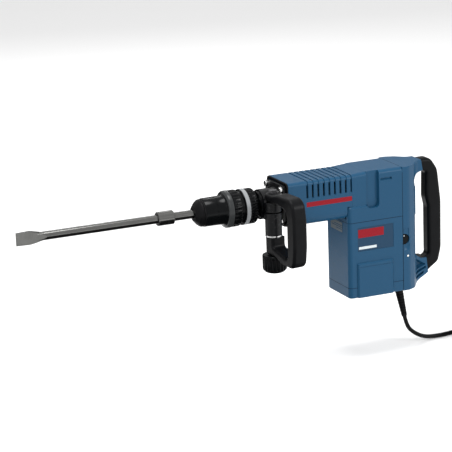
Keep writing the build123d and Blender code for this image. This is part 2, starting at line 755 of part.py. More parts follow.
def locking_sleeve():
    front = CAP_REAR + FACE_GAP
    bore = HOLDER_FRONT_R + RUN_GAP
    wide_bore = HOLDER_R + RUN_GAP
    skirt_r = RING_R - 3
    return turned_x(
        (front, bore),
        (front, SLEEVE_R - 1.5),
        (front + 1.5, SLEEVE_R - 0.5),
        (SLEEVE_GRIP_FRONT - 3, SLEEVE_R),
        (SLEEVE_GRIP_FRONT + 3, SLEEVE_GRIP_R - 1),
        (SLEEVE_GRIP_FRONT + 5, SLEEVE_GRIP_R),
        (SLEEVE_GRIP_REAR - 2, SLEEVE_GRIP_R),
        (SLEEVE_GRIP_REAR, SLEEVE_GRIP_R - 2),
        (SLEEVE_GRIP_REAR, skirt_r),
        (SLEEVE_GRIP_REAR + 8, skirt_r),
        (SLEEVE_GRIP_REAR + 8, skirt_r - 3),
        (SLEEVE_GRIP_FRONT + 6, skirt_r - 3),
        (SLEEVE_GRIP_FRONT - 4, SLEEVE_R - 3),
        (SLEEVE_GRIP_FRONT - 14, SLEEVE_R - 3),
        (SLEEVE_GRIP_FRONT - 14, bore),
    ) - rod_x(HOLDER_STEP - SLEEVE_TRAVEL - 1, SLEEVE_GRIP_REAR + 20, wide_bore)


def angle_ring():
    """Sets the chisel's angle; the sleeve's skirt slides into its front."""
    bore = HOLDER_R + RUN_GAP
    return turned_x(
        (RING_FRONT, RING_R - 3 + FACE_GAP),
        (RING_FRONT, RING_R - 1),
        (RING_FRONT + 1, RING_R),
        (BAND_FRONT, RING_R),
        (BAND_FRONT, RING_R - 2),
        (BAND_REAR, RING_R - 2),
        (BAND_REAR, RING_R - 0.6),
        (BAND_REAR + 1, RING_R),
        (RING_REAR - 10, RING_R),
        (RING_REAR - 2, RING_R - 11),
        (RING_REAR, RING_R - 12.5),
        (RING_REAR, bore),
        (RING_FRONT + 17, bore),
        (RING_FRONT + 17, RING_R - 3 + FACE_GAP),
    )


def angle_ring_band():
    bore = rod_x(BAND_FRONT - 1, BAND_REAR + 1, RING_R - 2 + FIT_GAP)
    return rod_x(BAND_FRONT, BAND_REAR, RING_R + 0.6) - bore


def chisel():
    """Flat cold chisel: slotted shank, stop collar, round shaft and spread blade."""
    shoulder = CHISEL_TIP + BLADE_LENGTH
    shaft = rod_x(CHISEL_TIP, SHANK_REAR, SHANK_R)
    shaft = chamfer(shaft.edges().group_by(Axis.X)[-1], 1.5)
    collar = rod_x(COLLAR_FRONT, COLLAR_REAR, COLLAR_R)
    collar = chamfer(collar.edges(), 1.2)
    w, root = BLADE_WIDTH / 2, SHANK_R - 4
    spread = side_profile(
        (CHISEL_TIP, -w, 0),
        (CHISEL_TIP + 28, -w, 40),
        (shoulder, -root, 0),
        (shoulder, root, 0),
        (CHISEL_TIP + 28, w, 40),
        (CHISEL_TIP, w, 0),
        half_width=SHANK_R - 3,
    )
    # the two ground faces run out of the round shaft behind the shoulder
    e, out = EDGE_THICKNESS / 2, COLLAR_R + 2
    wedge = Polyline(
        (CHISEL_TIP, -e),
        (shoulder + 4, -SHANK_R - 1),
        (shoulder + 20, -out),
        (SHANK_REAR + 1, -out),
        (SHANK_REAR + 1, out),
        (shoulder + 20, out),
        (shoulder + 4, SHANK_R + 1),
        (CHISEL_TIP, e),
        close=True,
    )
    body = (shaft + spread) & extrude(make_face(wedge), BLADE_WIDTH, both=True)
    body += collar
    groove_front = ROLLER_FRONT - CHISEL_TRAVEL - FACE_GAP
    groove_rear = ROLLER_FRONT + ROLLER_LENGTH + FACE_GAP
    floor = SHANK_R - ROLLER_DEPTH - RUN_GAP
    for side in (-1, 1):
        z = side * (floor + ROLLER_R)
        body -= rod_x(groove_front, groove_rear, ROLLER_R + FIT_GAP, 0, z)
    return body


# ------------------------------------------------------------- hammer mechanism
def impact_bolt():
    front = SHANK_BORE_REAR - IMPACT_GAP
    rear = HOLDER_REAR - 3
    return turned_x(
        (front, 0),
        (front, IMPACT_NOSE_R - 1),
        (front + 1, IMPACT_NOSE_R),
        (SHANK_BORE_REAR + IMPACT_TRAVEL + 1, IMPACT_NOSE_R),
        (SHANK_BORE_REAR + IMPACT_TRAVEL + 1, IMPACT_HEAD_R),
        (rear - 12, IMPACT_HEAD_R),
        (rear - 10, IMPACT_HEAD_R - 2),
        (rear - 1, IMPACT_HEAD_R - 2),
        (rear, IMPACT_HEAD_R - 3),
        (rear, 0),
    )


def striker():
    rear = STRIKER_FRONT + STRIKER_LENGTH
    r = CYLINDER_BORE_R - RUN_GAP
    return turned_x(
        (STRIKER_FRONT, 0),
        (STRIKER_FRONT, IMPACT_HEAD_R - 1),
        (STRIKER_FRONT + 8, IMPACT_HEAD_R),
        (STRIKER_FRONT + 12, r),
        (rear - 14, r),
        (rear - 14, r - 2.5),
        (rear - 10, r - 2.5),
        (rear - 10, r),
        (rear - 1, r),
        (rear, r - 1),
        (rear, 0),
    )


def striker_ring():
    rear = STRIKER_FRONT + STRIKER_LENGTH
    r = CYLINDER_BORE_R - RUN_GAP
    return rod_x(rear - 14 + FIT_GAP, rear - 10 - FIT_GAP, r) - rod_x(rear - 15, rear - 9, r - 2.5 + FIT_GAP)


def cylinder():
    bore = rod_x(CYLINDER_FRONT - 1, CYLINDER_REAR + 1, CYLINDER_BORE_R)
    body = rod_x(CYLINDER_FRONT, CYLINDER_REAR, CYLINDER_R) - bore
    hole_x = STRIKER_FRONT + STRIKER_LENGTH + 6
    return body - rod_z(-CYLINDER_R - 1, CYLINDER_R + 1, 2.0, hole_x)


def piston_front():
    return CRANK_X + CRANK_THROW - ROD_LENGTH - PISTON_LENGTH / 2


def wrist_x():
    return CRANK_X + CRANK_THROW - ROD_LENGTH


def piston():
    x0 = piston_front()
    r = CYLINDER_BORE_R - RUN_GAP
    body = rod_x(x0, x0 + PISTON_LENGTH, r)
    groove = rod_x(x0 + 4, x0 + 8, r + 1) - rod_x(x0 + 3, x0 + 9, r - 2.5)
    fork = ROD_HALF_THICKNESS + FACE_GAP
    body -= groove
    body -= block(x0 + 9, x0 + PISTON_LENGTH + 1, -15, 15, -fork, fork)
    return body - rod_z(-r - 1, r + 1, WRIST_PIN_R + FIT_GAP, wrist_x())


def piston_ring():
    x0 = piston_front()
    r = CYLINDER_BORE_R - RUN_GAP
    return rod_x(x0 + 4 + FIT_GAP, x0 + 8 - FIT_GAP, r) - rod_x(x0 + 3, x0 + 9, r - 2.5 + FIT_GAP)


def wrist_pin():
    half = sqrt((CYLINDER_BORE_R - 1) ** 2 - WRIST_PIN_R**2)
    return rod_z(-half, half, WRIST_PIN_R, wrist_x())


def connecting_rod():
    """Small end on the wrist pin; the big end sits over the crank pin."""
    t = ROD_HALF_THICKNESS
    x0, x1 = wrist_x(), wrist_x() + ROD_LENGTH
    small, big = WRIST_PIN_R + 4, CRANK_PIN_R + 5
    body = rod_z(-t, t, small, x0) + rod_z(-t, t, big, x1) + block(x0, x1, -5, 5, -t, t)
    body -= rod_z(-t - 1, t + 1, WRIST_PIN_R + RUN_GAP, x0)
    body -= rod_z(-t - 1, t + 1, CRANK_PIN_R + RUN_GAP, x1)
    for side in (-1, 1):
        z0, z1 = sorted((side * t, side * (t - 2)))
        body -= block(x0 + small + 4, x1 - big - 4, -3, 3, z0, z1)
    return body


def toothed_disc(teeth, z0, z1, x, y, turn):
    """A spur gear with straight-sided teeth, rounded off to run freely."""
    pitch_r = GEAR_MODULE * teeth / 2
    root, tip = pitch_r - 1.15 * GEAR_MODULE, pitch_r + 0.75 * GEAR_MODULE
    root_half, tip_half = 0.235, 0.1
    points = []
    for i in range(teeth):
        centre = 2 * pi * (i + turn) / teeth
        step = 2 * pi / teeth
        for r, share in ((root, -root_half), (tip, -tip_half), (tip, tip_half), (root, root_half)):
            a = centre + share * step
            points.append((r * cos(a), r * sin(a)))
    face = make_face(Polyline(*points, close=True))
    return Pos(x, y, z0) * extrude(face, z1 - z0)


def crank_gear():
    """Gear, crank web, crank pin and shaft in one forging."""
    z1 = GEAR_TOP
    z0 = z1 - GEAR_THICKNESS
    body = toothed_disc(GEAR_TEETH, z0, z1, CRANK_X, 0, 0.0)
    web_top = -ROD_HALF_THICKNESS - OPEN_PIVOT_GAP - 8
    body += rod_z(z1, web_top, CRANK_THROW + CRANK_PIN_R + 4, CRANK_X)
    body += rod_z(web_top, -ROD_HALF_THICKNESS - OPEN_PIVOT_GAP, CRANK_PIN_R, CRANK_X + CRANK_THROW)
    body += rod_z(CRANK_SHAFT_END, z0, CRANK_SHAFT_R, CRANK_X)
    return body


def crank_bearings():
    rings = []
    for z in (CRANK_SHAFT_END, CASE_FLOOR - 1 - CRANK_BEARING_WIDTH):
        top = z + CRANK_BEARING_WIDTH
        ring = rod_z(z, top, CRANK_BEARING_R) - rod_z(z - 1, top + 1, CRANK_SHAFT_R + RUN_GAP)
        rings.append(Pos(CRANK_X, 0, 0) * ring)
    return rings


def crankcase():
    """Cast gear housing, open at the top, with seats for all four bearings."""
    w = CASE_HALF_WIDTH
    floor = CASE_FLOOR
    bottom = UPPER_SEAM + 1
    body = side_plan(CASE_FRONT, CASE_REAR, w, 8, 8, bottom, CASE_TOP)
    body -= side_plan(CASE_FRONT + CASE_WALL, CASE_REAR - CASE_WALL, w - CASE_WALL, 4, 4, floor, CASE_TOP + 1)
    body -= rod_x(CASE_FRONT - 1, CASE_FRONT + CASE_WALL + 1, CYLINDER_R + FIT_GAP)
    body += rod_z(CRANK_SHAFT_END - 2, bottom + 1, CRANK_BEARING_R + 4, CRANK_X)
    body += rod_z(floor - 16, bottom + 1, BEARING_R + 3, MOTOR_X)
    body -= rod_z(CRANK_SHAFT_END, floor + 1, CRANK_BEARING_R + FIT_GAP, CRANK_X)
    body -= rod_z(CRANK_SHAFT_END - 3, floor, CRANK_SHAFT_R + 1, CRANK_X)
    body -= rod_z(floor - 14, floor - 14 + BEARING_WIDTH, BEARING_R + FIT_GAP, MOTOR_X)
    body -= rod_z(floor - 20, floor + 1, 10.5, MOTOR_X)
    return body


def crankcase_lid():
    w = CASE_HALF_WIDTH
    lid = side_plan(CASE_FRONT, CASE_REAR, w, 8, 8, CASE_TOP + FIT_GAP, CASE_TOP + 4)
    return lid


def armature_shaft():
    """Upright motor shaft with the pinion cut on its upper end."""
    top = CASE_FLOOR - 14 + BEARING_WIDTH
    body = rod_z(COMMUTATOR_BOTTOM - 22, top + 6, SHAFT_R, MOTOR_X)
    pinion_turn = 0.0 if PINION_TEETH % 2 else 0.5  # a gap faces the crank gear
    body += toothed_disc(PINION_TEETH, top + 5, GEAR_TOP + 2, MOTOR_X, 0, pinion_turn)
    return body


def rotor_core():
    core = rod_z(STATOR_BOTTOM, STATOR_TOP, CORE_R, MOTOR_X)
    for i in range(12):
        a = 2 * pi * i / 12
        x, y = MOTOR_X + CORE_R * cos(a), CORE_R * sin(a)
        slot = Pos(x, y, (STATOR_TOP + STATOR_BOTTOM) / 2) * Rot(0, 0, 30 * i) * Box(9, 2.4, 80)
        core -= slot
    return core - rod_z(STATOR_BOTTOM - 1, STATOR_TOP + 1, SHAFT_R + FIT_GAP, MOTOR_X)


def commutator():
    body = rod_z(COMMUTATOR_BOTTOM, COMMUTATOR_TOP, COMMUTATOR_R, MOTOR_X)
    return body - rod_z(COMMUTATOR_BOTTOM - 1, COMMUTATOR_TOP + 1, SHAFT_R + FIT_GAP, MOTOR_X)


def fan():
    z0, z1 = STATOR_TOP + 4, STATOR_TOP + 6
    body = rod_z(z0, z1, FAN_R, MOTOR_X) + rod_z(z0, z1 + 8, SHAFT_R + 5, MOTOR_X)
    for i in range(14):
        hub = Pos(MOTOR_X, 0, z1 + 3.5) * Rot(0, 0, 360 / 14 * i)
        blade = hub * Pos(26, 0, 0) * Rot(0, 0, 30) * Box(20, 1.6, 7)
        body += blade
    return body - rod_z(z0 - 1, z1 + 9, SHAFT_R + FIT_GAP, MOTOR_X)


def armature_bearings():
    rings = []
    for z in (CASE_FLOOR - 14, COMMUTATOR_BOTTOM - 12 - BEARING_WIDTH):
        ring = rod_z(z, z + BEARING_WIDTH, BEARING_R) - rod_z(z - 1, z + BEARING_WIDTH + 1, SHAFT_R + RUN_GAP)
        rings.append(Pos(MOTOR_X, 0, 0) * ring)
    return rings


def stator():
    body = rod_z(STATOR_BOTTOM, STATOR_TOP, STATOR_R, MOTOR_X)
    body -= rod_z(STATOR_BOTTOM - 1, STATOR_TOP + 1, STATOR_BORE_R, MOTOR_X)
    for side in (-1, 1):
        y0, y1 = sorted((side * 30, side * 41))
        body -= block(MOTOR_X - 17, MOTOR_X + 17, y0, y1, STATOR_BOTTOM - 1, STATOR_TOP + 1)
    return body


def brushes():
    """A brass holder and a carbon brush on each side of the commutator."""
    middle = (COMMUTATOR_TOP + COMMUTATOR_BOTTOM) / 2
    holder_gap = 3.0
    holders, blocks = [], []
    y0 = -COMMUTATOR_R - RUN_GAP - 0.2
    carbon = block(MOTOR_X - 4, MOTOR_X + 4, y0 - BRUSH_LENGTH, y0 + 1.5, middle - 6, middle + 6)
    carbon -= rod_z(middle - 7, middle + 7, COMMUTATOR_R + RUN_GAP, MOTOR_X)
    tube = block(MOTOR_X - 6, MOTOR_X + 6, y0 - 30, y0 - holder_gap, middle - 8, middle + 8)
    tube -= block(
        MOTOR_X - 4 - FIT_GAP, MOTOR_X + 4 + FIT_GAP, y0 - 28, y0, middle - 6 - FIT_GAP, middle + 6 + FIT_GAP
    )
    holders += both_sides(tube)
    blocks += both_sides(carbon)
    return holders, blocks


# ------------------------------------------------------------------ side handle
def handle_clamp():
    """Split clamp on the neck, with the stem that carries the bolt."""
    x0, x1 = CLAMP_X - CLAMP_WIDTH / 2, CLAMP_X + CLAMP_WIDTH / 2
    body = rod_x(x0, x1, CLAMP_R)
    lug = block(x0, x1, PIVOT_Y, 0, -CLAMP_R + 6, STEM_TOP)
    stem = rod_z(STEM_BOTTOM, STEM_TOP, STEM_R, CLAMP_X, PIVOT_Y)
    body = body + lug + stem
    body -= rod_x(x0 - 10, x1 + 10, NECK_R + RUN_GAP)
    slit_z = -8.0
    body -= block(x0 - 20, x1 + 20, PIVOT_Y - STEM_R - 1, -NECK_R + 2, slit_z, slit_z + CLAMP_SLIT)
    return body - rod_z(STEM_BOTTOM - 1, STEM_TOP + 1, PIVOT_R + FIT_GAP, CLAMP_X, PIVOT_Y)


def handle_bolt():
    head = Pos(CLAMP_X, PIVOT_Y, EYE_TOP + FACE_GAP) * extrude(RegularPolygon(9.5, 6), 6)
    shank = rod_z(NUT_BOTTOM + 14, EYE_TOP + FACE_GAP, PIVOT_R, CLAMP_X, PIVOT_Y)
    return head + shank


def tooth_ring():
    top = STEM_BOTTOM
    ring = rod_z(top - TOOTH_RING_THICKNESS, top, STEM_R + 0.2) - rod_z(
        top - 10, top + 1, PIVOT_R + FIT_GAP
    )
    return Pos(CLAMP_X, PIVOT_Y, 0) * ring


def handle_bow():
    """Closed D of the side handle, with an eye above and below the clamp."""
    t, w = BOW_THICKNESS, BOW_HALF_WIDTH
    reach_out = -(BOW_REACH + t / 2)
    reach_in = -(BOW_REACH - t / 2)
    eye_low = STEM_TOP + FACE_GAP
    lower_top = STEM_BOTTOM - TOOTH_RING_THICKNESS - FACE_GAP
    arm = 21.0
    profile = Plane.YZ * outline(
        (0, eye_low, 0),
        (-20, eye_low, 6),
        (-44, BOW_TOP - arm, 30),
        (reach_in, BOW_TOP - arm - 6, 16),
        (reach_in, BOW_BOTTOM + 15, 10),
        (-STEM_R - 2, EYE_BOTTOM + 19, 6),
        (-STEM_R - 2, lower_top, 0),
        (0, lower_top, 0),
        (0, EYE_BOTTOM, 0),
        (-NUT_R - 4, EYE_BOTTOM, 8),
        (-NUT_R - 27, BOW_BOTTOM + 1, 24),
        (reach_out + 6, BOW_BOTTOM, 18),
        (reach_out, BOW_BOTTOM + 45, 80),
        (reach_out, BOW_TOP - 45, 60),
        (reach_out + 8, BOW_TOP, 24),
        (-40, BOW_TOP, 20),
        (-18, EYE_TOP, 10),
        (0, EYE_TOP, 0),
    )
    body = extrude(profile, w, both=True)
    body = body & (block(-w, w, reach_out - 1, 0, -200, 100) + rod_z(-200, 100, w))
    gap = rod_z(lower_top, eye_low, STEM_R + 1.5)
    body += rod_z(eye_low, EYE_TOP, w) + rod_z(EYE_BOTTOM, lower_top, w)
    edges = body.edges().filter_by(lambda e: abs(abs(e.center().X) - w) < 0.01 and e.center().Y < -24)
    body = fillet(edges, 6)
    body -= gap
    return on_bow(body - rod_z(-200, 100, PIVOT_R + RUN_GAP))


def clamp_nut():
    """Knurled hand nut under the bow, with a blind hole for the bolt."""
    top = EYE_BOTTOM - FACE_GAP
    body = rod_z(NUT_BOTTOM, top, NUT_R)
    body = fillet(body.edges().group_by(Axis.Z)[0], 9)
    body = fillet(body.edges().group_by(Axis.Z)[-1], 3)
    for i in range(NUT_LOBES):
        a = 2 * pi * i / NUT_LOBES
        body -= rod_z(NUT_BOTTOM - 1, top - 5, 2.6, (NUT_R + 1) * cos(a), (NUT_R + 1) * sin(a))
    body -= rod_z(NUT_BOTTOM + 13, top + 1, PIVOT_R + RUN_GAP)
    return Pos(CLAMP_X, PIVOT_Y, 0) * body


# -------------------------------------------------------------------------- cord
def boot_place():
    """Local frame of the boot: its axis runs down and a little rearward."""
    return Pos(BOOT_X, 0, BASE_Z) * Rot(0, -BOOT_LEAN, 0)


def cord_boot():
    """Gland collar and the long tapered strain relief, one rubber moulding."""
    collar = rod_z(-GLAND_LENGTH, 14, BOOT_TOP_R + 1.5)
    cone = Pos(0, 0, -GLAND_LENGTH - BOOT_LENGTH / 2) * Cone(BOOT_TIP_R, BOOT_TOP_R, BOOT_LENGTH)
    return boot_place() * (collar + cone)


def boot_tip():
    a = radians(BOOT_LEAN)
    length = GLAND_LENGTH + BOOT_LENGTH
    return Vector(BOOT_X + length * sin(a), 0, BASE_Z - length * cos(a))


def cord_grip():
    """Clamp over the cord end, inside the rear cover."""
    return block(REAR_SEAM + 4, REAR_SEAM + 26, -12, 12, BASE_Z + 17, BASE_Z + 24)


def lead_route():
    """Chosen points of the cord from the boot to the coil."""
    tip = boot_tip()
    a = radians(BOOT_LEAN)
    coil_edge = COIL_Y + COIL_MIDDLE_R + CORD_D
    return [
        (tip.X, tip.Y, tip.Z),
        (tip.X + LEAD_START * sin(a), 0.0, tip.Z - LEAD_START * cos(a)),
        (315.0, -0.5, -337.0),
        (341.0, -2.0, -351.0),
        (378.0, -1.0, CORD_Z),
        (411.0, 4.0, CORD_Z),
        (441.0, coil_edge - 2.5, CORD_Z),
        (COIL_X + 3, coil_edge - 1.0, CORD_Z),
    ]


def tail_route():
    """Chosen points from the coil's top turn down to the plug."""
    x = COIL_X + COIL_MIDDLE_R + CORD_D
    high = CORD_Z + (COIL_LAYERS - 1) * CORD_D
    plug_axis = FLOOR_Z + PLUG_HALF_HEIGHT
    return [
        (x - 1.0, COIL_Y + 4.0, high),
        (x, COIL_Y - 28.0, high - 2.0),
        (x + 2.0, COIL_Y - 59.0, high - 10.0),
        (x + 1.0, COIL_Y - 88.0, plug_axis),
        (x - 2.0, COIL_Y - 113.0, plug_axis),
    ]


def cord_tube(points, label):
    """Straight runs joined by arcs as large as the runs allow."""
    corners = [Vector(*p) for p in points]
    radii = []
    for before, here, after in zip(corners, corners[1:], corners[2:]):
        a, b = here - before, after - here
        half_turn = radians(a.get_angle(b)) / 2
        radii.append(0.45 * min(a.length, b.length) / tan(half_turn))
    print(label, "radii", [round(r) for r in radii])
    path = FilletPolyline(*corners, radius=radii)
    start = Plane(origin=path @ 0, z_dir=path % 0)
    tube = sweep(start * Circle(CORD_D / 2), path)
    section = pi * CORD_D**2 / 4
    ratio = tube.volume / (section * path.length)
    print(label, "length", round(path.length, 1), "volume ratio", round(ratio, 4))
    return tube, path.length


def coil_solid():
    """The outer shape of the tied coil."""
    half = COIL_COLUMNS * CORD_D / 2
    height = COIL_LAYERS * CORD_D
    ring = outline(
        (COIL_MIDDLE_R - half, 0, 3),
        (COIL_MIDDLE_R + half, 0, 3),
        (COIL_MIDDLE_R + half, height, 4),
        (COIL_MIDDLE_R - half, height, 4),
    )
    return Pos(COIL_X, COIL_Y, FLOOR_Z) * revolve(Plane.XZ * ring, Axis.Z)


def coil_tie():
    """Rubber strap round the turns, on the side away from the tool."""
    half = COIL_COLUMNS * CORD_D / 2
    height = COIL_LAYERS * CORD_D
    x0, x1 = COIL_MIDDLE_R - half - 2, COIL_MIDDLE_R + half + 2
    strap = block(x0, x1, -6, 6, 0.1, height + 2) - block(x0 + 2, x1 - 2, -7, 7, -1, height)
    return Pos(COIL_X, COIL_Y, FLOOR_Z) * Rot(0, 0, 60) * strap


def plug_place():
    end, before = (Vector(*p) for p in (tail_route()[-1], tail_route()[-2]))
    direction = Vector(end.X - before.X, end.Y - before.Y, 0).normalized()
    return Plane(origin=end, x_dir=(0, 0, 1), z_dir=direction)


def plug():
    """Round moulded plug with a ribbed neck."""
    neck = Pos(0, 0, 10) * Cone(BOOT_TIP_R, BOOT_TIP_R + 3, 20)
    shoulder = Pos(0, 0, 23) * Cone(BOOT_TIP_R + 3, PLUG_R - 2, 6)
    body = Pos(0, 0, 26 + PLUG_LENGTH / 2) * Cylinder(PLUG_R, PLUG_LENGTH)
    body &= Pos(0, 0, 26 + PLUG_LENGTH / 2) * Box(2 * PLUG_HALF_HEIGHT, 60, PLUG_LENGTH)
    return plug_place().location * (neck + shoulder + body)


def plug_pins():
    pins = []
    for side in (-1, 1):
        y = side * PLUG_PIN_SPACING / 2
        z0 = 26 + PLUG_LENGTH
        pin = Pos(0, y, z0 + PLUG_PIN_LENGTH / 2) * Cylinder(PLUG_PIN_R, PLUG_PIN_LENGTH)
        pins.append(plug_place().location * pin)
    return pins



def build():
    """Every node by name."""
    holders, carbons = brushes()
    lead, lead_length = cord_tube(lead_route(), "lead")
    tail, tail_length = cord_tube(tail_route(), "tail")
    print("cord length left for the coil", round(CORD_LENGTH - lead_length - tail_length))
    side_screws = [(148.8, -190.0), (252.0, -190.0), (252.0, -63.0), (148.8, -63.0)]
    rear_screws = [(270.0, 42.0), (270.0, -205.0)]
    heads = screw_heads_on_y(side_screws + rear_screws, MOTOR_HALF_WIDTH)
    return {
        "barrel_casting": barrel_casting(),
        "barrel_shroud": barrel_shroud(),
        "flange_gasket": flange_gasket(),
        "flange_screws": flange_screws(),
        "gear_cover": gear_cover(),
        "motor_housing": motor_housing(),
        "bottom_cap": bottom_cap(),
        "foot_pad": foot_pad(),
        "side_panel_left": side_panel(-1),
        "side_panel_right": side_panel(1),
        "housing_screws": heads,
        "rear_cover": rear_cover(),
        "rear_grip": rear_grip(),
        "switch_body": switch_body(),
        "switch_rocker": switch_rocker(),
        "speed_wheel": speed_wheel(),
        "speed_dial_base": speed_dial_base(),
        "control_module": control_module(),
        "service_lamp": service_lamp(),
        "tool_holder": tool_holder(),
        "locking_rollers": locking_rollers(),
        "dust_cap": dust_cap(),
        "locking_sleeve": locking_sleeve(),
        "angle_ring": angle_ring(),
        "angle_ring_band": angle_ring_band(),
        "chisel": chisel(),
        "impact_bolt": impact_bolt(),
        "striker": striker(),
        "striker_ring": striker_ring(),
        "cylinder": cylinder(),
        "piston": piston(),
        "piston_ring": piston_ring(),
        "wrist_pin": wrist_pin(),
        "connecting_rod": connecting_rod(),
        "crank_gear": crank_gear(),
        "crank_bearings": crank_bearings(),
        "crankcase": crankcase(),
        "crankcase_lid": crankcase_lid(),
        "armature_shaft": armature_shaft(),
        "rotor_core": rotor_core(),
        "commutator": commutator(),
        "fan": fan(),
        "armature_bearings": armature_bearings(),
        "stator": stator(),
        "brush_holders": holders,
        "carbon_brushes": carbons,
        "handle_clamp": handle_clamp(),
        "handle_bolt": handle_bolt(),
        "tooth_ring": tooth_ring(),
        "handle_bow": handle_bow(),
        "clamp_nut": clamp_nut(),
        "cord_boot": cord_boot(),
        "cord_grip": cord_grip(),
        "cord_tube": [lead, tail],
        "cord_coil": coil_solid(),
        "coil_tie": coil_tie(),
        "plug": plug(),
        "plug_pins": plug_pins(),
    }


def main():
    os.makedirs("parts", exist_ok=True)
    for name, shape in build().items():
        pieces = shape if isinstance(shape, list) else [shape]
        solids = [Pos(-ORIGIN) * solid for piece in pieces for solid in piece.solids()]
        node = solids[0] if len(solids) == 1 else Compound(children=solids)
        export_step(node, f"parts/{name}.step")


main()
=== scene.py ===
import json
import math
import bmesh
import bpy
from mathutils import Matrix, Vector


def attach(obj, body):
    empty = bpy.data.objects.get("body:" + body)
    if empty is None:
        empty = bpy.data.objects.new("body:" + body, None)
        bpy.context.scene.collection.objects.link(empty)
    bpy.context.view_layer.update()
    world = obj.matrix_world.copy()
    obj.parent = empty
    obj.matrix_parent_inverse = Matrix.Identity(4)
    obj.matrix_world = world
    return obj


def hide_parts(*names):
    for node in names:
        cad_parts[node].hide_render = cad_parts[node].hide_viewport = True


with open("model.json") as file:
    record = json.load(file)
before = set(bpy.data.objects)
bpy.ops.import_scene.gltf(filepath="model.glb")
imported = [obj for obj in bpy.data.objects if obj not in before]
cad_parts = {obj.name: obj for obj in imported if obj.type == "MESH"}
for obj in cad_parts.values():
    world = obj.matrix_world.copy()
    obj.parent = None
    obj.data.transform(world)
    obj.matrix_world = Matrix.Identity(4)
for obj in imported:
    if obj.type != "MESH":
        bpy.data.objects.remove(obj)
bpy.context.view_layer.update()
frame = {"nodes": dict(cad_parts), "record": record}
nodes = frame["nodes"]
print("frame loaded:", len(nodes), "nodes")

mm = 0.001


# camera: a long lens, a little above the tool and off to its front left
camera = dict(place=(-2.192, -3.912, 1.1785), yaw=23.59, pitch=15.03, roll=-2.05, lens=171.0)


def makeCamera():
    yaw, pitch, roll = (math.radians(camera[key]) for key in ("yaw", "pitch", "roll"))
    forward = Vector((math.sin(yaw) * math.cos(pitch), math.cos(yaw) * math.cos(pitch), -math.sin(pitch)))
    level = Vector((math.cos(yaw), -math.sin(yaw), 0))
    upright = level.cross(forward)
    right = level * math.cos(roll) + upright * math.sin(roll)
    up = upright * math.cos(roll) - level * math.sin(roll)
    data = bpy.data.cameras.new("camera")
    data.lens = camera["lens"]
    data.sensor_width = 36
    data.clip_end = 50
    made = bpy.data.objects.new("camera", data)
    turned = Matrix((right, up, -forward)).transposed().to_4x4()
    made.matrix_world = Matrix.Translation(camera["place"]) @ turned
    bpy.context.scene.collection.objects.link(made)
    bpy.context.scene.camera = made


class Wire:
    # a socket that takes part in sums: every operator adds one Math node
    def __init__(self, paint, made, output=0):
        self.paint, self.made = paint, made
        self.socket = made.outputs[output] if made.outputs else None

    def maths(self, operation, a, b=0.0, clamp=False):
        return self.paint.node("ShaderNodeMath", {"operation": operation, "use_clamp": clamp}, {0: a, 1: b})

    def __add__(self, other):
        return self.maths("ADD", self, other)

    def __sub__(self, other):
        return self.maths("SUBTRACT", self, other)

    def __rsub__(self, other):
        return self.maths("SUBTRACT", other, self)

    def __mul__(self, other):
        return self.maths("MULTIPLY", self, other)

    __radd__ = __add__
    __rmul__ = __mul__

    def above(self, level, softness):
        # 0 below the level, 1 above it, with a soft step between
        return self.maths("MULTIPLY", self - level, 1 / softness, clamp=True)


class Paint:
    # one material: object coordinates in, one principled shader out
    def __init__(self, name):
        self.material = bpy.data.materials.new(name)
        self.material.use_nodes = True
        self.tree = self.material.node_tree
        self.tree.nodes.clear()
        self.shader = self.node("ShaderNodeBsdfPrincipled")
        self.node("ShaderNodeOutputMaterial", sockets={"Surface": self.shader})
        self.place = self.node("ShaderNodeTexCoord", output="Object")

    def node(self, kind, settings=None, sockets=None, output=0):
        made = self.tree.nodes.new(kind)
        for key, value in (settings or {}).items():
            if key == "stops":
                ramp = made.color_ramp
                ramp.elements[0].position, ramp.elements[0].color = value[0]
                ramp.elements[1].position, ramp.elements[1].color = value[-1]
                for at, colour in value[1:-1]:
                    ramp.elements.new(at).color = colour
            else:
                setattr(made, key, value)
        for key, value in (sockets or {}).items():
            if isinstance(value, Wire):
                self.tree.links.new(value.socket, made.inputs[key])
            else:
                made.inputs[key].default_value = value
        return Wire(self, made, output)

    def give(self, values):
        # values and links, straight onto the shader's sockets
        for key, value in values.items():
            if isinstance(value, Wire):
                self.tree.links.new(value.socket, self.shader.made.inputs[key])
            else:
                self.shader.made.inputs[key].default_value = value
        return self

    def stretched(self, scale):
        return self.node("ShaderNodeMapping", sockets={"Vector": self.place, "Scale": scale})

    def speckle(self, scale, detail=3.0, roughness=0.55, vector=None):
        sockets = {"Vector": vector or self.place, "Scale": scale, "Detail": detail, "Roughness": roughness}
        return self.node("ShaderNodeTexNoise", sockets=sockets)

    def between(self, factor, first, second):
        return self.node("ShaderNodeMix", {"data_type": "RGBA"}, {0: factor, 6: first, 7: second}, output=2)

    def relief(self, height, distance, strength=1.0):
        sockets = {"Height": height, "Distance": distance, "Strength": strength}
        return self.node("ShaderNodeBump", sockets=sockets)


def shade(red, green, blue, alpha=1.0):
    return (red, green, blue, alpha)


def mouldedPlastic(name, colour, worn, rough=0.42, grain=0.00003, shine=0.3):
    # a moulded shell: spark-eroded grain, faint handling marks in broad patches, fine pale scuffs
    paint = Paint(name)
    broad = paint.speckle(9, 2)
    fine = paint.speckle(1900, 2, 0.6)
    scuff = paint.speckle(1.0, 4, 0.75, paint.stretched((60, 60, 420))).above(0.66, 0.12)
    tone = paint.between(broad.above(0.3, 0.6) * 0.3, shade(*colour), shade(*[c * 1.12 for c in colour]))
    tone = paint.between(scuff * 0.18, tone, shade(*worn))
    dull = broad * 0.08 + fine * 0.05 + (rough - 0.06) + scuff * 0.08
    return paint.give({"Base Color": tone, "Roughness": dull,
                      "Specular IOR Level": shine, "Normal": paint.relief(fine, grain)}).material


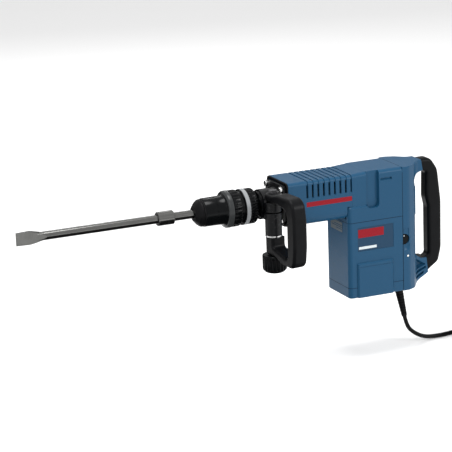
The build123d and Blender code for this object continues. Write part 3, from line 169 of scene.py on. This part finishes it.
def castFinish(name, colour, worn, rough, grain=0.0003, metal=0.0):
    # coated casting: pebbled skin with small bare chips
    paint = Paint(name)
    pebble = paint.speckle(420, 4, 0.65)
    patch = paint.speckle(60, 4, 0.6)
    chips = paint.speckle(260, 5, 0.75).above(0.63, 0.04)
    tone = paint.between(patch.above(0.3, 0.5), shade(*colour), shade(*[c * 1.5 for c in colour]))
    tone = paint.between(chips * 0.6, tone, shade(*worn))
    bare = chips * 0.8 * (1 - metal) + metal
    return paint.give({"Base Color": tone, "Roughness": patch * 0.2 + (rough - 0.1), "Metallic": bare,
                      "Specular IOR Level": 0.2, "Normal": paint.relief(pebble, grain, 0.7)}).material


def turnedSteel(name, colour, rough, axis="X", marks=1.0, tint=(1, 1, 1)):
    # lathe or grinding marks that run round the axis, with faint handling stains
    paint = Paint(name)
    scale = {"X": (1400, 30, 30), "Y": (30, 1400, 30), "Z": (30, 30, 1400)}[axis]
    rings = paint.speckle(1.0, 3, 0.6, paint.stretched(scale))
    stain = paint.speckle(45, 4, 0.6)
    stained = [c * t * 0.72 for c, t in zip(colour, tint)]
    tone = paint.between(stain.above(0.4, 0.35) * 0.5, shade(*colour), shade(*stained))
    dull = rings * 0.12 * marks + stain * 0.12 + (rough - 0.1)
    return paint.give({"Base Color": tone, "Metallic": 1.0, "Roughness": dull,
                      "Normal": paint.relief(rings, 0.00002 * marks)}).material


def rubberFinish(name, colour, rough=0.6, grain=0.0001, scale=900):
    paint = Paint(name)
    skin = paint.speckle(scale, 3, 0.6)
    bloom = paint.speckle(35, 3, 0.6)
    paler = [c * 1.6 + 0.0015 for c in colour]
    tone = paint.between(bloom.above(0.35, 0.4) * 0.5, shade(*colour), shade(*paler))
    dull = bloom * 0.14 + skin * 0.08 + (rough - 0.1)
    return paint.give({"Base Color": tone, "Roughness": dull, "Specular IOR Level": 0.1,
                      "Normal": paint.relief(skin, grain)}).material


def laminatedFinish(name, colour, pitch, axis=2):
    # thin stacked sheets, or bars side by side
    paint = Paint(name)
    height = paint.node("ShaderNodeSeparateXYZ", sockets={0: paint.place}, output=axis)
    lines = paint.node("ShaderNodeMath", {"operation": "SINE"}, {0: height * (2 * math.pi / pitch)})
    band = lines.above(-0.3, 1.0)
    tone = paint.between(band, shade(*[c * 0.5 for c in colour]), shade(*colour))
    return paint.give({"Base Color": tone, "Metallic": 0.8, "Roughness": paint.speckle(200) * 0.2 + 0.35,
                      "Normal": paint.relief(band, 0.0001)}).material


def enamel(name, colour, rough=0.3):
    # printed or painted marking with tiny pinholes
    paint = Paint(name)
    specks = paint.speckle(1500, 2).above(0.62, 0.05)
    tone = paint.between(specks * 0.35, shade(*colour), shade(*[c * 0.6 for c in colour]))
    return paint.give({"Base Color": tone, "Roughness": specks * 0.2 + rough, "Specular IOR Level": 0.15,
                      "Normal": paint.relief(1 - specks, 0.00002)}).material


# a cream lens with a faint warm emission: a painted glow on an unlit lamp
def lensFinish(name):
    paint = Paint(name)
    haze = paint.speckle(300)
    tone = paint.between(haze, shade(0.9, 0.86, 0.75), shade(0.98, 0.95, 0.88))
    return paint.give({"Base Color": tone, "Roughness": haze * 0.1 + 0.05,
                      "Coat Weight": 0.6, "Emission Color": shade(1, 0.95, 0.85), "Emission Strength": 0.15}).material


blue = (0.0075, 0.0545, 0.116)
finishes = dict(
    bluePlastic=mouldedPlastic("bluePlastic", blue, (0.05, 0.12, 0.2), 0.36, shine=0.2),
    plateBlue=mouldedPlastic("plateBlue", (0.0095, 0.038, 0.078), (0.03, 0.08, 0.14), 0.4, 0.00002, 0.18),
    blackPlastic=mouldedPlastic("blackPlastic", (0.0022, 0.0026, 0.003), (0.012, 0.013, 0.014), 0.3, 0.00003, 0.1),
    sleevePlastic=mouldedPlastic("sleevePlastic", (0.0016, 0.002, 0.0024), (0.01, 0.011, 0.012), 0.2, 0.00001, 0.13),
    # a paler grey copy of the sleeve plastic: painted sheen for the lit band of the grip ring
    sheenBandPlastic=mouldedPlastic("sheenBandPlastic", (0.026, 0.028, 0.029), (0.05, 0.05, 0.054), 0.28, 0.00002, 0.25),
    softGrip=rubberFinish("softGrip", (0.0022, 0.0024, 0.003), 0.36, 0.00006, 1400),
    blackRubber=rubberFinish("blackRubber", (0.0025, 0.0025, 0.003), 0.42),
    cordRubber=rubberFinish("cordRubber", (0.003, 0.003, 0.0032), 0.42, 0.00004, 600),
    sealRubber=rubberFinish("sealRubber", (0.05, 0.03, 0.02), 0.4),
    castBlack=castFinish("castBlack", (0.0024, 0.0027, 0.0033), (0.16, 0.16, 0.17), 0.32),
    castAlloy=castFinish("castAlloy", (0.33, 0.335, 0.34), (0.6, 0.6, 0.6), 0.45, 0.0002, 0.9),
    toolSteel=turnedSteel("toolSteel", (0.15, 0.15, 0.145), 0.18),
    brightSteel=turnedSteel("brightSteel", (0.62, 0.62, 0.62), 0.22),
    hardSteel=turnedSteel("hardSteel", (0.42, 0.42, 0.43), 0.32, "Z"),
    darkSteel=turnedSteel("darkSteel", (0.1, 0.1, 0.105), 0.4, "Y"),
    laminatedSteel=laminatedFinish("laminatedSteel", (0.3, 0.29, 0.28), 0.0007),
    copperBars=laminatedFinish("copperBars", (0.75, 0.38, 0.22), 0.002, 1),
    brass=turnedSteel("brass", (0.72, 0.53, 0.22), 0.3, "Z", 0.6, (1, 0.8, 0.6)),
    carbon=rubberFinish("carbon", (0.03, 0.03, 0.032), 0.6),
    nylon=mouldedPlastic("nylon", (0.5, 0.48, 0.42), (0.65, 0.63, 0.57), 0.45),
    lampLens=lensFinish("lampLens"),
    redEnamel=enamel("redEnamel", (0.22, 0.004, 0.011)),
    ringEnamel=enamel("ringEnamel", (0.24, 0.25, 0.26), 0.24),
    seamShadow=rubberFinish("seamShadow", (0.002, 0.005, 0.009), 0.6),
    whiteEnamel=enamel("whiteEnamel", (0.55, 0.6, 0.62)),
    plateMetal=turnedSteel("plateMetal", (0.2, 0.24, 0.27), 0.35, "Z", 0.6),
)
print("finishes made:", len(finishes))


# record slots, and the finish that a carried-over node gets from its slot
slotFinish = dict(blue_plastic="bluePlastic", black_plastic="blackPlastic", soft_grip="softGrip", black_rubber="blackRubber",
                  cord_rubber="cordRubber", cast_black="castBlack", cast_alloy="castAlloy", tool_steel="toolSteel",
                  bright_steel="brightSteel", hard_steel="hardSteel", dark_steel="darkSteel", laminated_steel="laminatedSteel",
                  copper_bars="copperBars", brass="brass", carbon="carbon", seal_rubber="sealRubber", nylon="nylon",
                  lamp_lens="lampLens")
nodeSlot = {part["node"]: part["material_slot"] for part in frame["record"]["subparts"]}
for name, made in nodes.items():
    for holder in made.material_slots:
        holder.material = finishes[slotFinish[nodeSlot[name]]]


def bodyOf(node):
    return next(body for body, held in frame["record"]["behaviour"]["bodies"].items() if node in held)


def finishPiece(bm, name, node, finish, stands=(), crease=32):
    # bmesh to object: smooth faces, sharp edges past the crease angle, riding on the node's body
    mesh = bpy.data.meshes.new(name)
    for face in bm.faces:
        face.smooth = True
    bm.to_mesh(mesh)
    bm.free()
    made = bpy.data.objects.new(name, mesh)
    bpy.context.scene.collection.objects.link(made)
    made.data.materials.append(finishes[finish])
    if crease:
        made.data.set_sharp_from_angle(angle=math.radians(crease))
    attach(made, bodyOf(node))
    if stands:
        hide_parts(*stands)
    return made


def at(x, y, z):
    # drawing millimetres from the tool's flange, to metres from the grip
    return Vector(((x - 363) * mm, y * mm, (z + 68) * mm))


def facing(origin, along, side):
    # local X runs along the piece, local Y to its side
    along = Vector(along).normalized()
    up = along.cross(Vector(side)).normalized()
    return Matrix.Translation(origin) @ Matrix((along, up.cross(along), up)).transposed().to_4x4()


def lofted(name, node, finish, rows, place, steps=96, stands=(), crease=30):
    # rows of (along, half width, half height, squareness, ribs, rib depth) in mm, closed end to end
    bm = bmesh.new()
    rings = []
    for row in rows:
        along, wide, high, square, ribs, depth = (*row, *(row[1], 2, 0, 0)[len(row) - 2:])
        ring = []
        for i in range(steps):
            angle = 2 * math.pi * i / steps
            c, s = math.cos(angle), math.sin(angle)
            dip = depth * (0.5 - 0.5 * math.cos(angle * ribs)) ** 2 if ribs else 0
            across = (wide - dip) * math.copysign(abs(c) ** (2 / square), c)
            rise = (high - dip) * math.copysign(abs(s) ** (2 / square), s)
            ring.append(bm.verts.new(place @ Vector((along * mm, across * mm, rise * mm))))
        rings.append(ring)
    for first, second in zip(rings, rings[1:] + rings[:1]):
        for i in range(steps):
            after = (i + 1) % steps
            bm.faces.new((first[i], first[after], second[after], second[i]))
    bmesh.ops.recalc_face_normals(bm, faces=bm.faces)
    return finishPiece(bm, name, node, finish, stands, crease)


barrelLine = facing(at(0, 0, 0), (1, 0, 0), (0, 1, 0))
sleeve = dict(ribs=24, depth=1.3, steps=288, rows=[
    (-174.2, 28.2), (-173.4, 29.3), (-172.4, 29.7), (-150, 30.0), (-149.4, 29.3), (-147.6, 29.3), (-147, 30.1), (-132.4, 30.3),
    (-129.6, 31.6), (-127, 35.2), (-125, 37.6), (-123.4, 38.3), (-116.2, 38.4), (-115.6, 37.9)])
sleeveRibs = [(-115.5, 37.2), (-114.2, 38.2), (-99.4, 38.4), (-97.6, 37.8), (-96.9, 36.6)]
sleeveInside = [(-96.8, 34.1), (-88.9, 34.1), (-88.9, 31.3), (-122, 31.3), (-132, 27.3), (-142, 27.3), (-142, 20.1),
                (-174.2, 17.1)]
ring = dict(ribs=36, depth=1.0, steps=360, rows=[
    (-89.7, 34.6), (-89.7, 36.0), (-89.0, 37.0), (-88.2, 37.2), (-87.6, 37.0), (-87.55, 35.2), (-79.5, 35.2), (-79.4, 36.4)])
ringTeeth = [(-79.0, 36.9), (-77.8, 37.2), (-63.4, 37.2), (-61.6, 36.6)]
ringInside = [(-60.8, 35.4), (-54.2, 26.4), (-52.3, 24.8), (-52.1, 20.1), (-72.8, 20.1), (-72.8, 34.6)]


def makeChuck():
    fluted = [(along, r, r, 2, sleeve["ribs"], sleeve["depth"]) for along, r in sleeveRibs]
    lofted("locking_sleeve_body", "locking_sleeve", "sleevePlastic", sleeve["rows"] + fluted + sleeveInside, barrelLine,
           sleeve["steps"], ("locking_sleeve",), 26)
    toothed = [(along, r, r, 2, ring["ribs"], ring["depth"]) for along, r in ringTeeth]
    lofted("angle_ring_body", "angle_ring", "sleevePlastic", ring["rows"] + toothed + ringInside, barrelLine,
           ring["steps"], ("angle_ring",), 26)
    # painted sheen: a thin paler shell just over the sleeve's widest part
    collar = [(-127.6, 34.0), (-127.2, 35.6), (-125.2, 38.0), (-123.4, 38.75), (-116.4, 38.85), (-116.0, 38.4), (-116.0, 37.0)]
    lofted("sleeve_sheen_band", "locking_sleeve", "sheenBandPlastic", collar, barrelLine, 96)
    nodes["angle_ring_band"].material_slots[0].material = finishes["ringEnamel"]
    print("chuck turned")


nut = dict(ribs=18, depth=2.4, steps=216,
           rows=[(-97.0, 9.0), (-96.4, 22.6), (-97.2, 24.4), (-98.6, 25.3), (-101, 25.5)],
           grip=[(-102, 24.6), (-103.4, 25.4), (-126, 25.4), (-128.6, 24.6)],
           foot=[(-130, 23.2), (-133, 20.2), (-134.8, 15.8), (-135, 12.0), (-135, 4.0), (-134.6, 3.4), (-133.2, 3.2), (-122.2, 3.2),
                 (-122.0, 8.4)])


def makeNut():
    line = facing(at(-34, -46, 0), (0, 0, 1), (0, 1, 0))
    grip = [(along, r, r, 2, nut["ribs"], nut["depth"]) for along, r in nut["grip"]]
    lofted("clamp_nut_body", "clamp_nut", "blackPlastic", nut["rows"] + grip + nut["foot"], line, nut["steps"], ("clamp_nut",), 28)
    print("hand nut turned")


boot = dict(place=(277, 0, -220.5), lean=12, top=9.0, tip=6.0, length=76.0,
            grooves=8, start=22.0, pitch=6.2, gap=2.0, depth=1.5)


def makeBoot():
    lean = math.radians(boot["lean"])
    line = facing(at(*boot["place"]), (math.sin(lean), 0, -math.cos(lean)), (0, 1, 0))
    radius = lambda along: boot["top"] + (boot["tip"] - boot["top"]) * (along - 14) / (boot["length"] - 14)
    rows = [(-10, 4.6), (-10, 8.8), (0, 10.3), (12.6, 10.4), (13.6, 10.0), (14.4, 9.2)]
    for i in range(boot["grooves"]):
        first = boot["start"] + i * boot["pitch"]
        last = first + boot["gap"]
        rows += [(first - 0.2, radius(first)), (first + 0.3, radius(first) - boot["depth"]),
                 (last - 0.3, radius(last) - boot["depth"]), (last + 0.2, radius(last))]
    rows += [(boot["length"] - 0.8, boot["tip"]), (boot["length"], boot["tip"] - 0.7), (boot["length"], 4.6)]
    lofted("cord_boot_body", "cord_boot", "blackRubber", rows, line, 48, ("cord_boot",), 24)
    print("boot ribbed")


plug = dict(end=(0.159, -0.158, -0.2765), before=(0.162, -0.133, -0.2765),
            rows=[(0.4, 4.6, 4.6), (0.4, 5.4, 5.4), (1.2, 6.0, 6.0), (4, 6.3, 6.3), (4.6, 5.4, 5.4), (6.2, 5.5, 5.5), (6.8, 7.0, 7.0),
                  (10, 7.4, 7.4), (10.6, 6.4, 6.4), (12.2, 6.6, 6.6), (12.8, 8.0, 8.0), (18.5, 8.8, 8.8), (22, 11.5, 10.0, 2.3),
                  (26, 16.2, 12.4, 2.8), (29, 18.0, 13.2, 3.2), (33, 18.4, 13.4, 3.4), (37, 17.2, 12.4, 3.4), (40, 17.0, 12.2, 3.4),
                  (42, 17.6, 12.8, 3.4), (45, 18.4, 13.4, 3.4), (60, 18.4, 13.4, 3.4), (61.4, 17.8, 12.9, 3.4), (61.9, 16.6, 11.8, 3.4),
                  (61.9, 8.0, 6.0, 3.0), (61.7, 3.0, 3.0), (30, 3.0, 3.0)])


def makePlug():
    end, before = Vector(plug["end"]), Vector(plug["before"])
    line = facing(end, end - before, (end - before).cross((0, 0, 1)))
    return lofted("plug_body", "plug", "blackRubber", plug["rows"], line, 64, ("plug",), 30)


tie = dict(turn=60, middle=50, half=15.2, height=38.2, wide=6.0, thick=1.6, corner=4.0)


def makeTie():
    # a strap round the section of the coil, with a rounded corner at each turn
    bm = bmesh.new()
    turn, low = math.radians(tie["turn"]), 0.2
    centre = Vector(lead["coilCentre"]).to_3d()
    outward = Vector((math.cos(turn), math.sin(turn), 0))
    sideways = Vector((-math.sin(turn), math.cos(turn), 0))
    corners = [(-1, low, 180), (-1, tie["height"], 90), (1, tie["height"], 0), (1, low, -90)]
    loops = []
    for inset in (0, tie["thick"]):
        loop = []
        for side, level, start in corners:
            inner = tie["corner"] - inset
            x = side * (tie["half"] - tie["corner"])
            z = level + (tie["corner"] if level == low else -tie["corner"])
            for k in range(6):
                angle = math.radians(start + 90 * (side == -1) - 18 * k)
                loop.append((x + inner * math.cos(angle), z + inner * math.sin(angle)))
        loops.append(loop)
    floor = lead["coilFloor"] - lead["diameter"] / 2
    rings = []
    for loop, edge in ((loops[0], -1), (loops[0], 1), (loops[1], 1), (loops[1], -1)):
        rings.append([bm.verts.new(centre + outward * ((tie["middle"] + x) * mm) + sideways * (edge * tie["wide"] * mm)
                                   + Vector((0, 0, floor + z * mm))) for x, z in loop])
    for first, second in zip(rings, rings[1:] + rings[:1]):
        for i in range(len(first)):
            after = (i + 1) % len(first)
            bm.faces.new((first[i], first[after], second[after], second[i]))
    bmesh.ops.recalc_face_normals(bm, faces=bm.faces)
    return finishPiece(bm, "coil_tie_strap", "coil_tie", "blackRubber", ("coil_tie",), 40)


# plain bars where the printed markings go: lowest corner and size in drawing mm
bars = dict(
    stripeNear=dict(node="barrel_shroud", finish="redEnamel", low=(41, -49.72, -7.2), size=(105, 0.4, 9.9)),
    stripeFar=dict(node="barrel_shroud", finish="redEnamel", low=(41, 49.32, -7.2), size=(105, 0.4, 9.9)),
    labelNear=dict(node="motor_housing", finish="plateBlue", low=(156.4, -52.05, -119.1), size=(84.2, 0.3, 51.2)),
    labelFar=dict(node="motor_housing", finish="plateBlue", low=(156.4, 51.75, -119.1), size=(84.2, 0.3, 51.2)),
    nameBarNear=dict(node="motor_housing", finish="redEnamel", low=(157.5, -52.3, -90), size=(60.5, 0.4, 18)),
    nameBarFar=dict(node="motor_housing", finish="redEnamel", low=(157.5, 51.9, -90), size=(60.5, 0.4, 18)),
    typeBarNear=dict(node="motor_housing", finish="whiteEnamel", low=(159, -52.3, -115), size=(41.7, 0.4, 5.5)),
    typeBarFar=dict(node="motor_housing", finish="whiteEnamel", low=(159, 51.9, -115), size=(41.7, 0.4, 5.5)),
    rearSeamNear=dict(node="rear_cover", finish="seamShadow", low=(263.1, -52.78, -217), size=(0.9, 0.3, 256)),
    rearSeamFar=dict(node="rear_cover", finish="seamShadow", low=(263.1, 52.48, -217), size=(0.9, 0.3, 256)),
    rearSeamTop=dict(node="rear_cover", finish="seamShadow", low=(263.1, -38, 49.78), size=(0.9, 76, 0.3)),
    coverFront=dict(node="gear_cover", finish="bluePlastic", low=(135.5, -44.5, -55.7), size=(1.4, 89, 8.4)),
    ratingPlate=dict(node="motor_housing", finish="plateMetal", low=(135.0, -23.3, -80.7), size=(0.6, 53.3, 21)),
    plateLineUpper=dict(node="motor_housing", finish="bluePlastic", low=(134.9, -20.5, -67.2), size=(0.4, 34, 1.6)),
    plateLineMiddle=dict(node="motor_housing", finish="bluePlastic", low=(134.9, -20.5, -71.2), size=(0.4, 46, 1.6)),
    plateLineLower=dict(node="motor_housing", finish="bluePlastic", low=(134.9, -20.5, -75.6), size=(0.4, 26, 1.6)),
    wheelMark=dict(node="speed_wheel", finish="whiteEnamel", low=(266.6, -49.6, -102.2), size=(2.2, 0.4, 2.6)))


seams = dict(front=135.32, rear=263.2, side=52.78, corner=9.0, wide=0.9, thick=0.5,
             heights=dict(motor_housing=-56.0, bottom_cap=-197.5))


def makeSeams():
    # the shadow line where two covers meet, run round the front of the motor
    front, side, corner = seams["front"], seams["side"], seams["corner"]
    for node, height in seams["heights"].items():
        rings = []
        bm = bmesh.new()
        for inset, lift in ((0, -0.5), (0, 0.5), (seams["thick"], 0.5), (seams["thick"], -0.5)):
            radius = corner - inset
            path = [(seams["rear"], -side + inset)]
            bends = [math.radians(k * 10) for k in range(10)]
            path += [(front + corner - radius * math.sin(bend), -side + corner - radius * math.cos(bend)) for bend in bends]
            path += [(x, -y) for x, y in reversed(path)]
            rings.append([bm.verts.new(at(x, y, height + lift * seams["wide"])) for x, y in path])
        for first, second in zip(rings, rings[1:] + rings[:1]):
            for i in range(len(first) - 1):
                bm.faces.new((first[i], first[i + 1], second[i + 1], second[i]))
        for end in (0, -1):
            bm.faces.new([ring[end] for ring in rings])
        bmesh.ops.recalc_face_normals(bm, faces=bm.faces)
        finishPiece(bm, node + "_seam", node, "seamShadow")
    print("seams laid")


def makeBars():
    for name, bar in bars.items():
        size = Vector(bar["size"])
        bm = bmesh.new()
        bmesh.ops.create_cube(bm, size=1)
        bmesh.ops.scale(bm, vec=size * mm, verts=bm.verts)
        bmesh.ops.translate(bm, vec=at(*(Vector(bar["low"]) + size / 2)), verts=bm.verts)
        thin = list(size).index(min(size))
        corners = [edge for edge in bm.edges if abs((edge.verts[0].co - edge.verts[1].co)[thin]) > 0.0001]
        rounding = min(0.8, sorted(size)[1] / 3) * mm
        bmesh.ops.bevel(bm, geom=corners, offset=rounding, segments=3, profile=0.5, affect="EDGES", material=-1)
        finishPiece(bm, name, bar["node"], bar["finish"])
    print("markings laid:", len(bars))


# mains lead: the route in the drawing, then a neat coil, then the tail to the plug
lead = dict(
    diameter=0.009, length=4.0,
    out=[(-0.0702, 0, -0.22684), (-0.065, 0, -0.25129), (-0.048, -0.0005, -0.269), (-0.022, -0.002, -0.283),
         (0.015, -0.001, -0.2855), (0.048, 0.004, -0.2855), (0.078, 0.0115, -0.2855)],
    tail=[(0.160, -0.073, -0.2605), (0.163, -0.104, -0.2685), (0.162, -0.133, -0.2765), (0.159, -0.158, -0.2765)],
    coilCentre=(0.102, -0.045), coilFloor=-0.2855, columns=(0.059, 0.050, 0.041), turns=11.25, pointsPerTurn=16)


def coilPoints():
    # three columns and four layers, wound out to in and back, each turn a cord apart
    centre, step = lead["coilCentre"], lead["diameter"]
    count = round(lead["turns"] * lead["pointsPerTurn"])
    columns = lead["columns"]
    rings = [(radius, layer) for layer in range(4) for radius in (columns if layer % 2 == 0 else columns[::-1])]
    points = []
    for i in range(count + 1):
        turn = i / lead["pointsPerTurn"]
        ring = min(int(turn), len(rings) - 1)
        after = min(ring + 1, len(rings) - 1)
        share = max(0.0, (turn - ring) * 3 - 2)   # the step to the next ring takes the last third of a turn
        radius = rings[ring][0] * (1 - share) + rings[after][0] * share
        height = rings[ring][1] * (1 - share) + rings[after][1] * share
        angle = math.pi / 2 - 2 * math.pi * turn
        x, y = centre[0] + radius * math.cos(angle), centre[1] + radius * math.sin(angle)
        points.append((x, y, lead["coilFloor"] + height * step))
    return points


def makeLead():
    route = lead["out"] + coilPoints() + lead["tail"]
    curve = bpy.data.curves.new("mains_lead", "CURVE")
    curve.dimensions = "3D"
    curve.bevel_depth = lead["diameter"] / 2
    curve.bevel_resolution = 5
    curve.resolution_u = 5
    curve.use_fill_caps = True
    spline = curve.splines.new("NURBS")
    spline.points.add(len(route) - 1)
    for point, place in zip(spline.points, route):
        point.co = (*place, 1)
    spline.order_u = 3
    spline.use_endpoint_u = True
    made = bpy.data.objects.new("mains_lead", curve)
    bpy.context.scene.collection.objects.link(made)
    curve.materials.append(finishes["cordRubber"])
    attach(made, "tool_body")
    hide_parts("cord_tube", "cord_coil")
    makePlug()
    makeTie()
    print("lead laid:", len(route), "points")


floorLevel = -0.290


def makeStage():
    bm = bmesh.new()
    bmesh.ops.create_grid(bm, x_segments=1, y_segments=1, size=12, matrix=Matrix.Translation((0, 0, floorLevel)))
    mesh = bpy.data.meshes.new("floor")
    bm.to_mesh(mesh)
    bm.free()
    made = bpy.data.objects.new("floor", mesh)
    bpy.context.scene.collection.objects.link(made)
    paint = Paint("studioFloor")
    mesh.materials.append(paint.give({"Base Color": shade(0.86, 0.86, 0.86), "Roughness": 0.7}).material)


# cards the camera, the shadows and the diffuse light all pass: they only darken what shiny faces mirror
cards = dict(
    front=dict(place=(-0.56, 0.78, -0.12), aim=(-0.23, 0, -0.05), size=0.8, tone=0.01),
    above=dict(place=(0.75, 2.3, 0.85), aim=(-0.2, 0, 0), size=1.7, tone=0.2),
    below=dict(place=(-0.72, -0.3, -0.285), aim=(-0.72, -0.3, 1), size=1.1, tone=0.02))


def makeCards():
    for name, card in cards.items():
        bm = bmesh.new()
        bmesh.ops.create_grid(bm, x_segments=1, y_segments=1, size=card["size"] / 2)
        turned = (Vector(card["aim"]) - Vector(card["place"])).to_track_quat("-Z", "Y").to_matrix().to_4x4()
        bmesh.ops.transform(bm, matrix=Matrix.Translation(card["place"]) @ turned, verts=bm.verts)
        mesh = bpy.data.meshes.new(name + "_card")
        bm.to_mesh(mesh)
        bm.free()
        made = bpy.data.objects.new(name + "_card", mesh)
        made.visible_camera = made.visible_shadow = made.visible_diffuse = False
        paint = Paint(name + "Card")
        paint.give({"Base Color": shade(*[card["tone"]] * 3), "Roughness": 0.9, "Specular IOR Level": 0.0})
        mesh.materials.append(paint.material)
        bpy.context.scene.collection.objects.link(made)


lights = dict(
    overhead=dict(place=(-0.6, -0.2, 3.0), aim=(-0.3, 0, 0), size=1.6, power=70),
    frontLeft=dict(place=(-2.6, -2.4, 2.2), aim=(-0.35, 0, 0), size=0.9, power=26),
    rightSide=dict(place=(2.2, -3.0, 1.6), aim=(-0.1, 0, 0), size=1.2, power=62),
    behind=dict(place=(0.6, 3.0, 1.8), aim=(-0.3, 0, 0), size=1.4, power=34))


def makeLights():
    for name, light in lights.items():
        data = bpy.data.lights.new(name, "AREA")
        data.shape = "DISK"
        data.size, data.energy = light["size"], light["power"]
        made = bpy.data.objects.new(name, data)
        made.location = light["place"]
        made.rotation_euler = (Vector(light["aim"]) - Vector(light["place"])).to_track_quat("-Z", "Y").to_euler()
        bpy.context.scene.collection.objects.link(made)
    world = bpy.data.worlds.new("studio")
    world.use_nodes = True
    background = world.node_tree.nodes["Background"]
    background.inputs["Color"].default_value = (1, 1, 1, 1)
    background.inputs["Strength"].default_value = 0.85
    bpy.context.scene.world = world
    bpy.context.scene.view_settings.view_transform = "Standard"


makeCamera()
makeChuck()
makeNut()
makeBoot()
makeLead()
makeBars()
makeSeams()
makeStage()
makeLights()
makeCards()
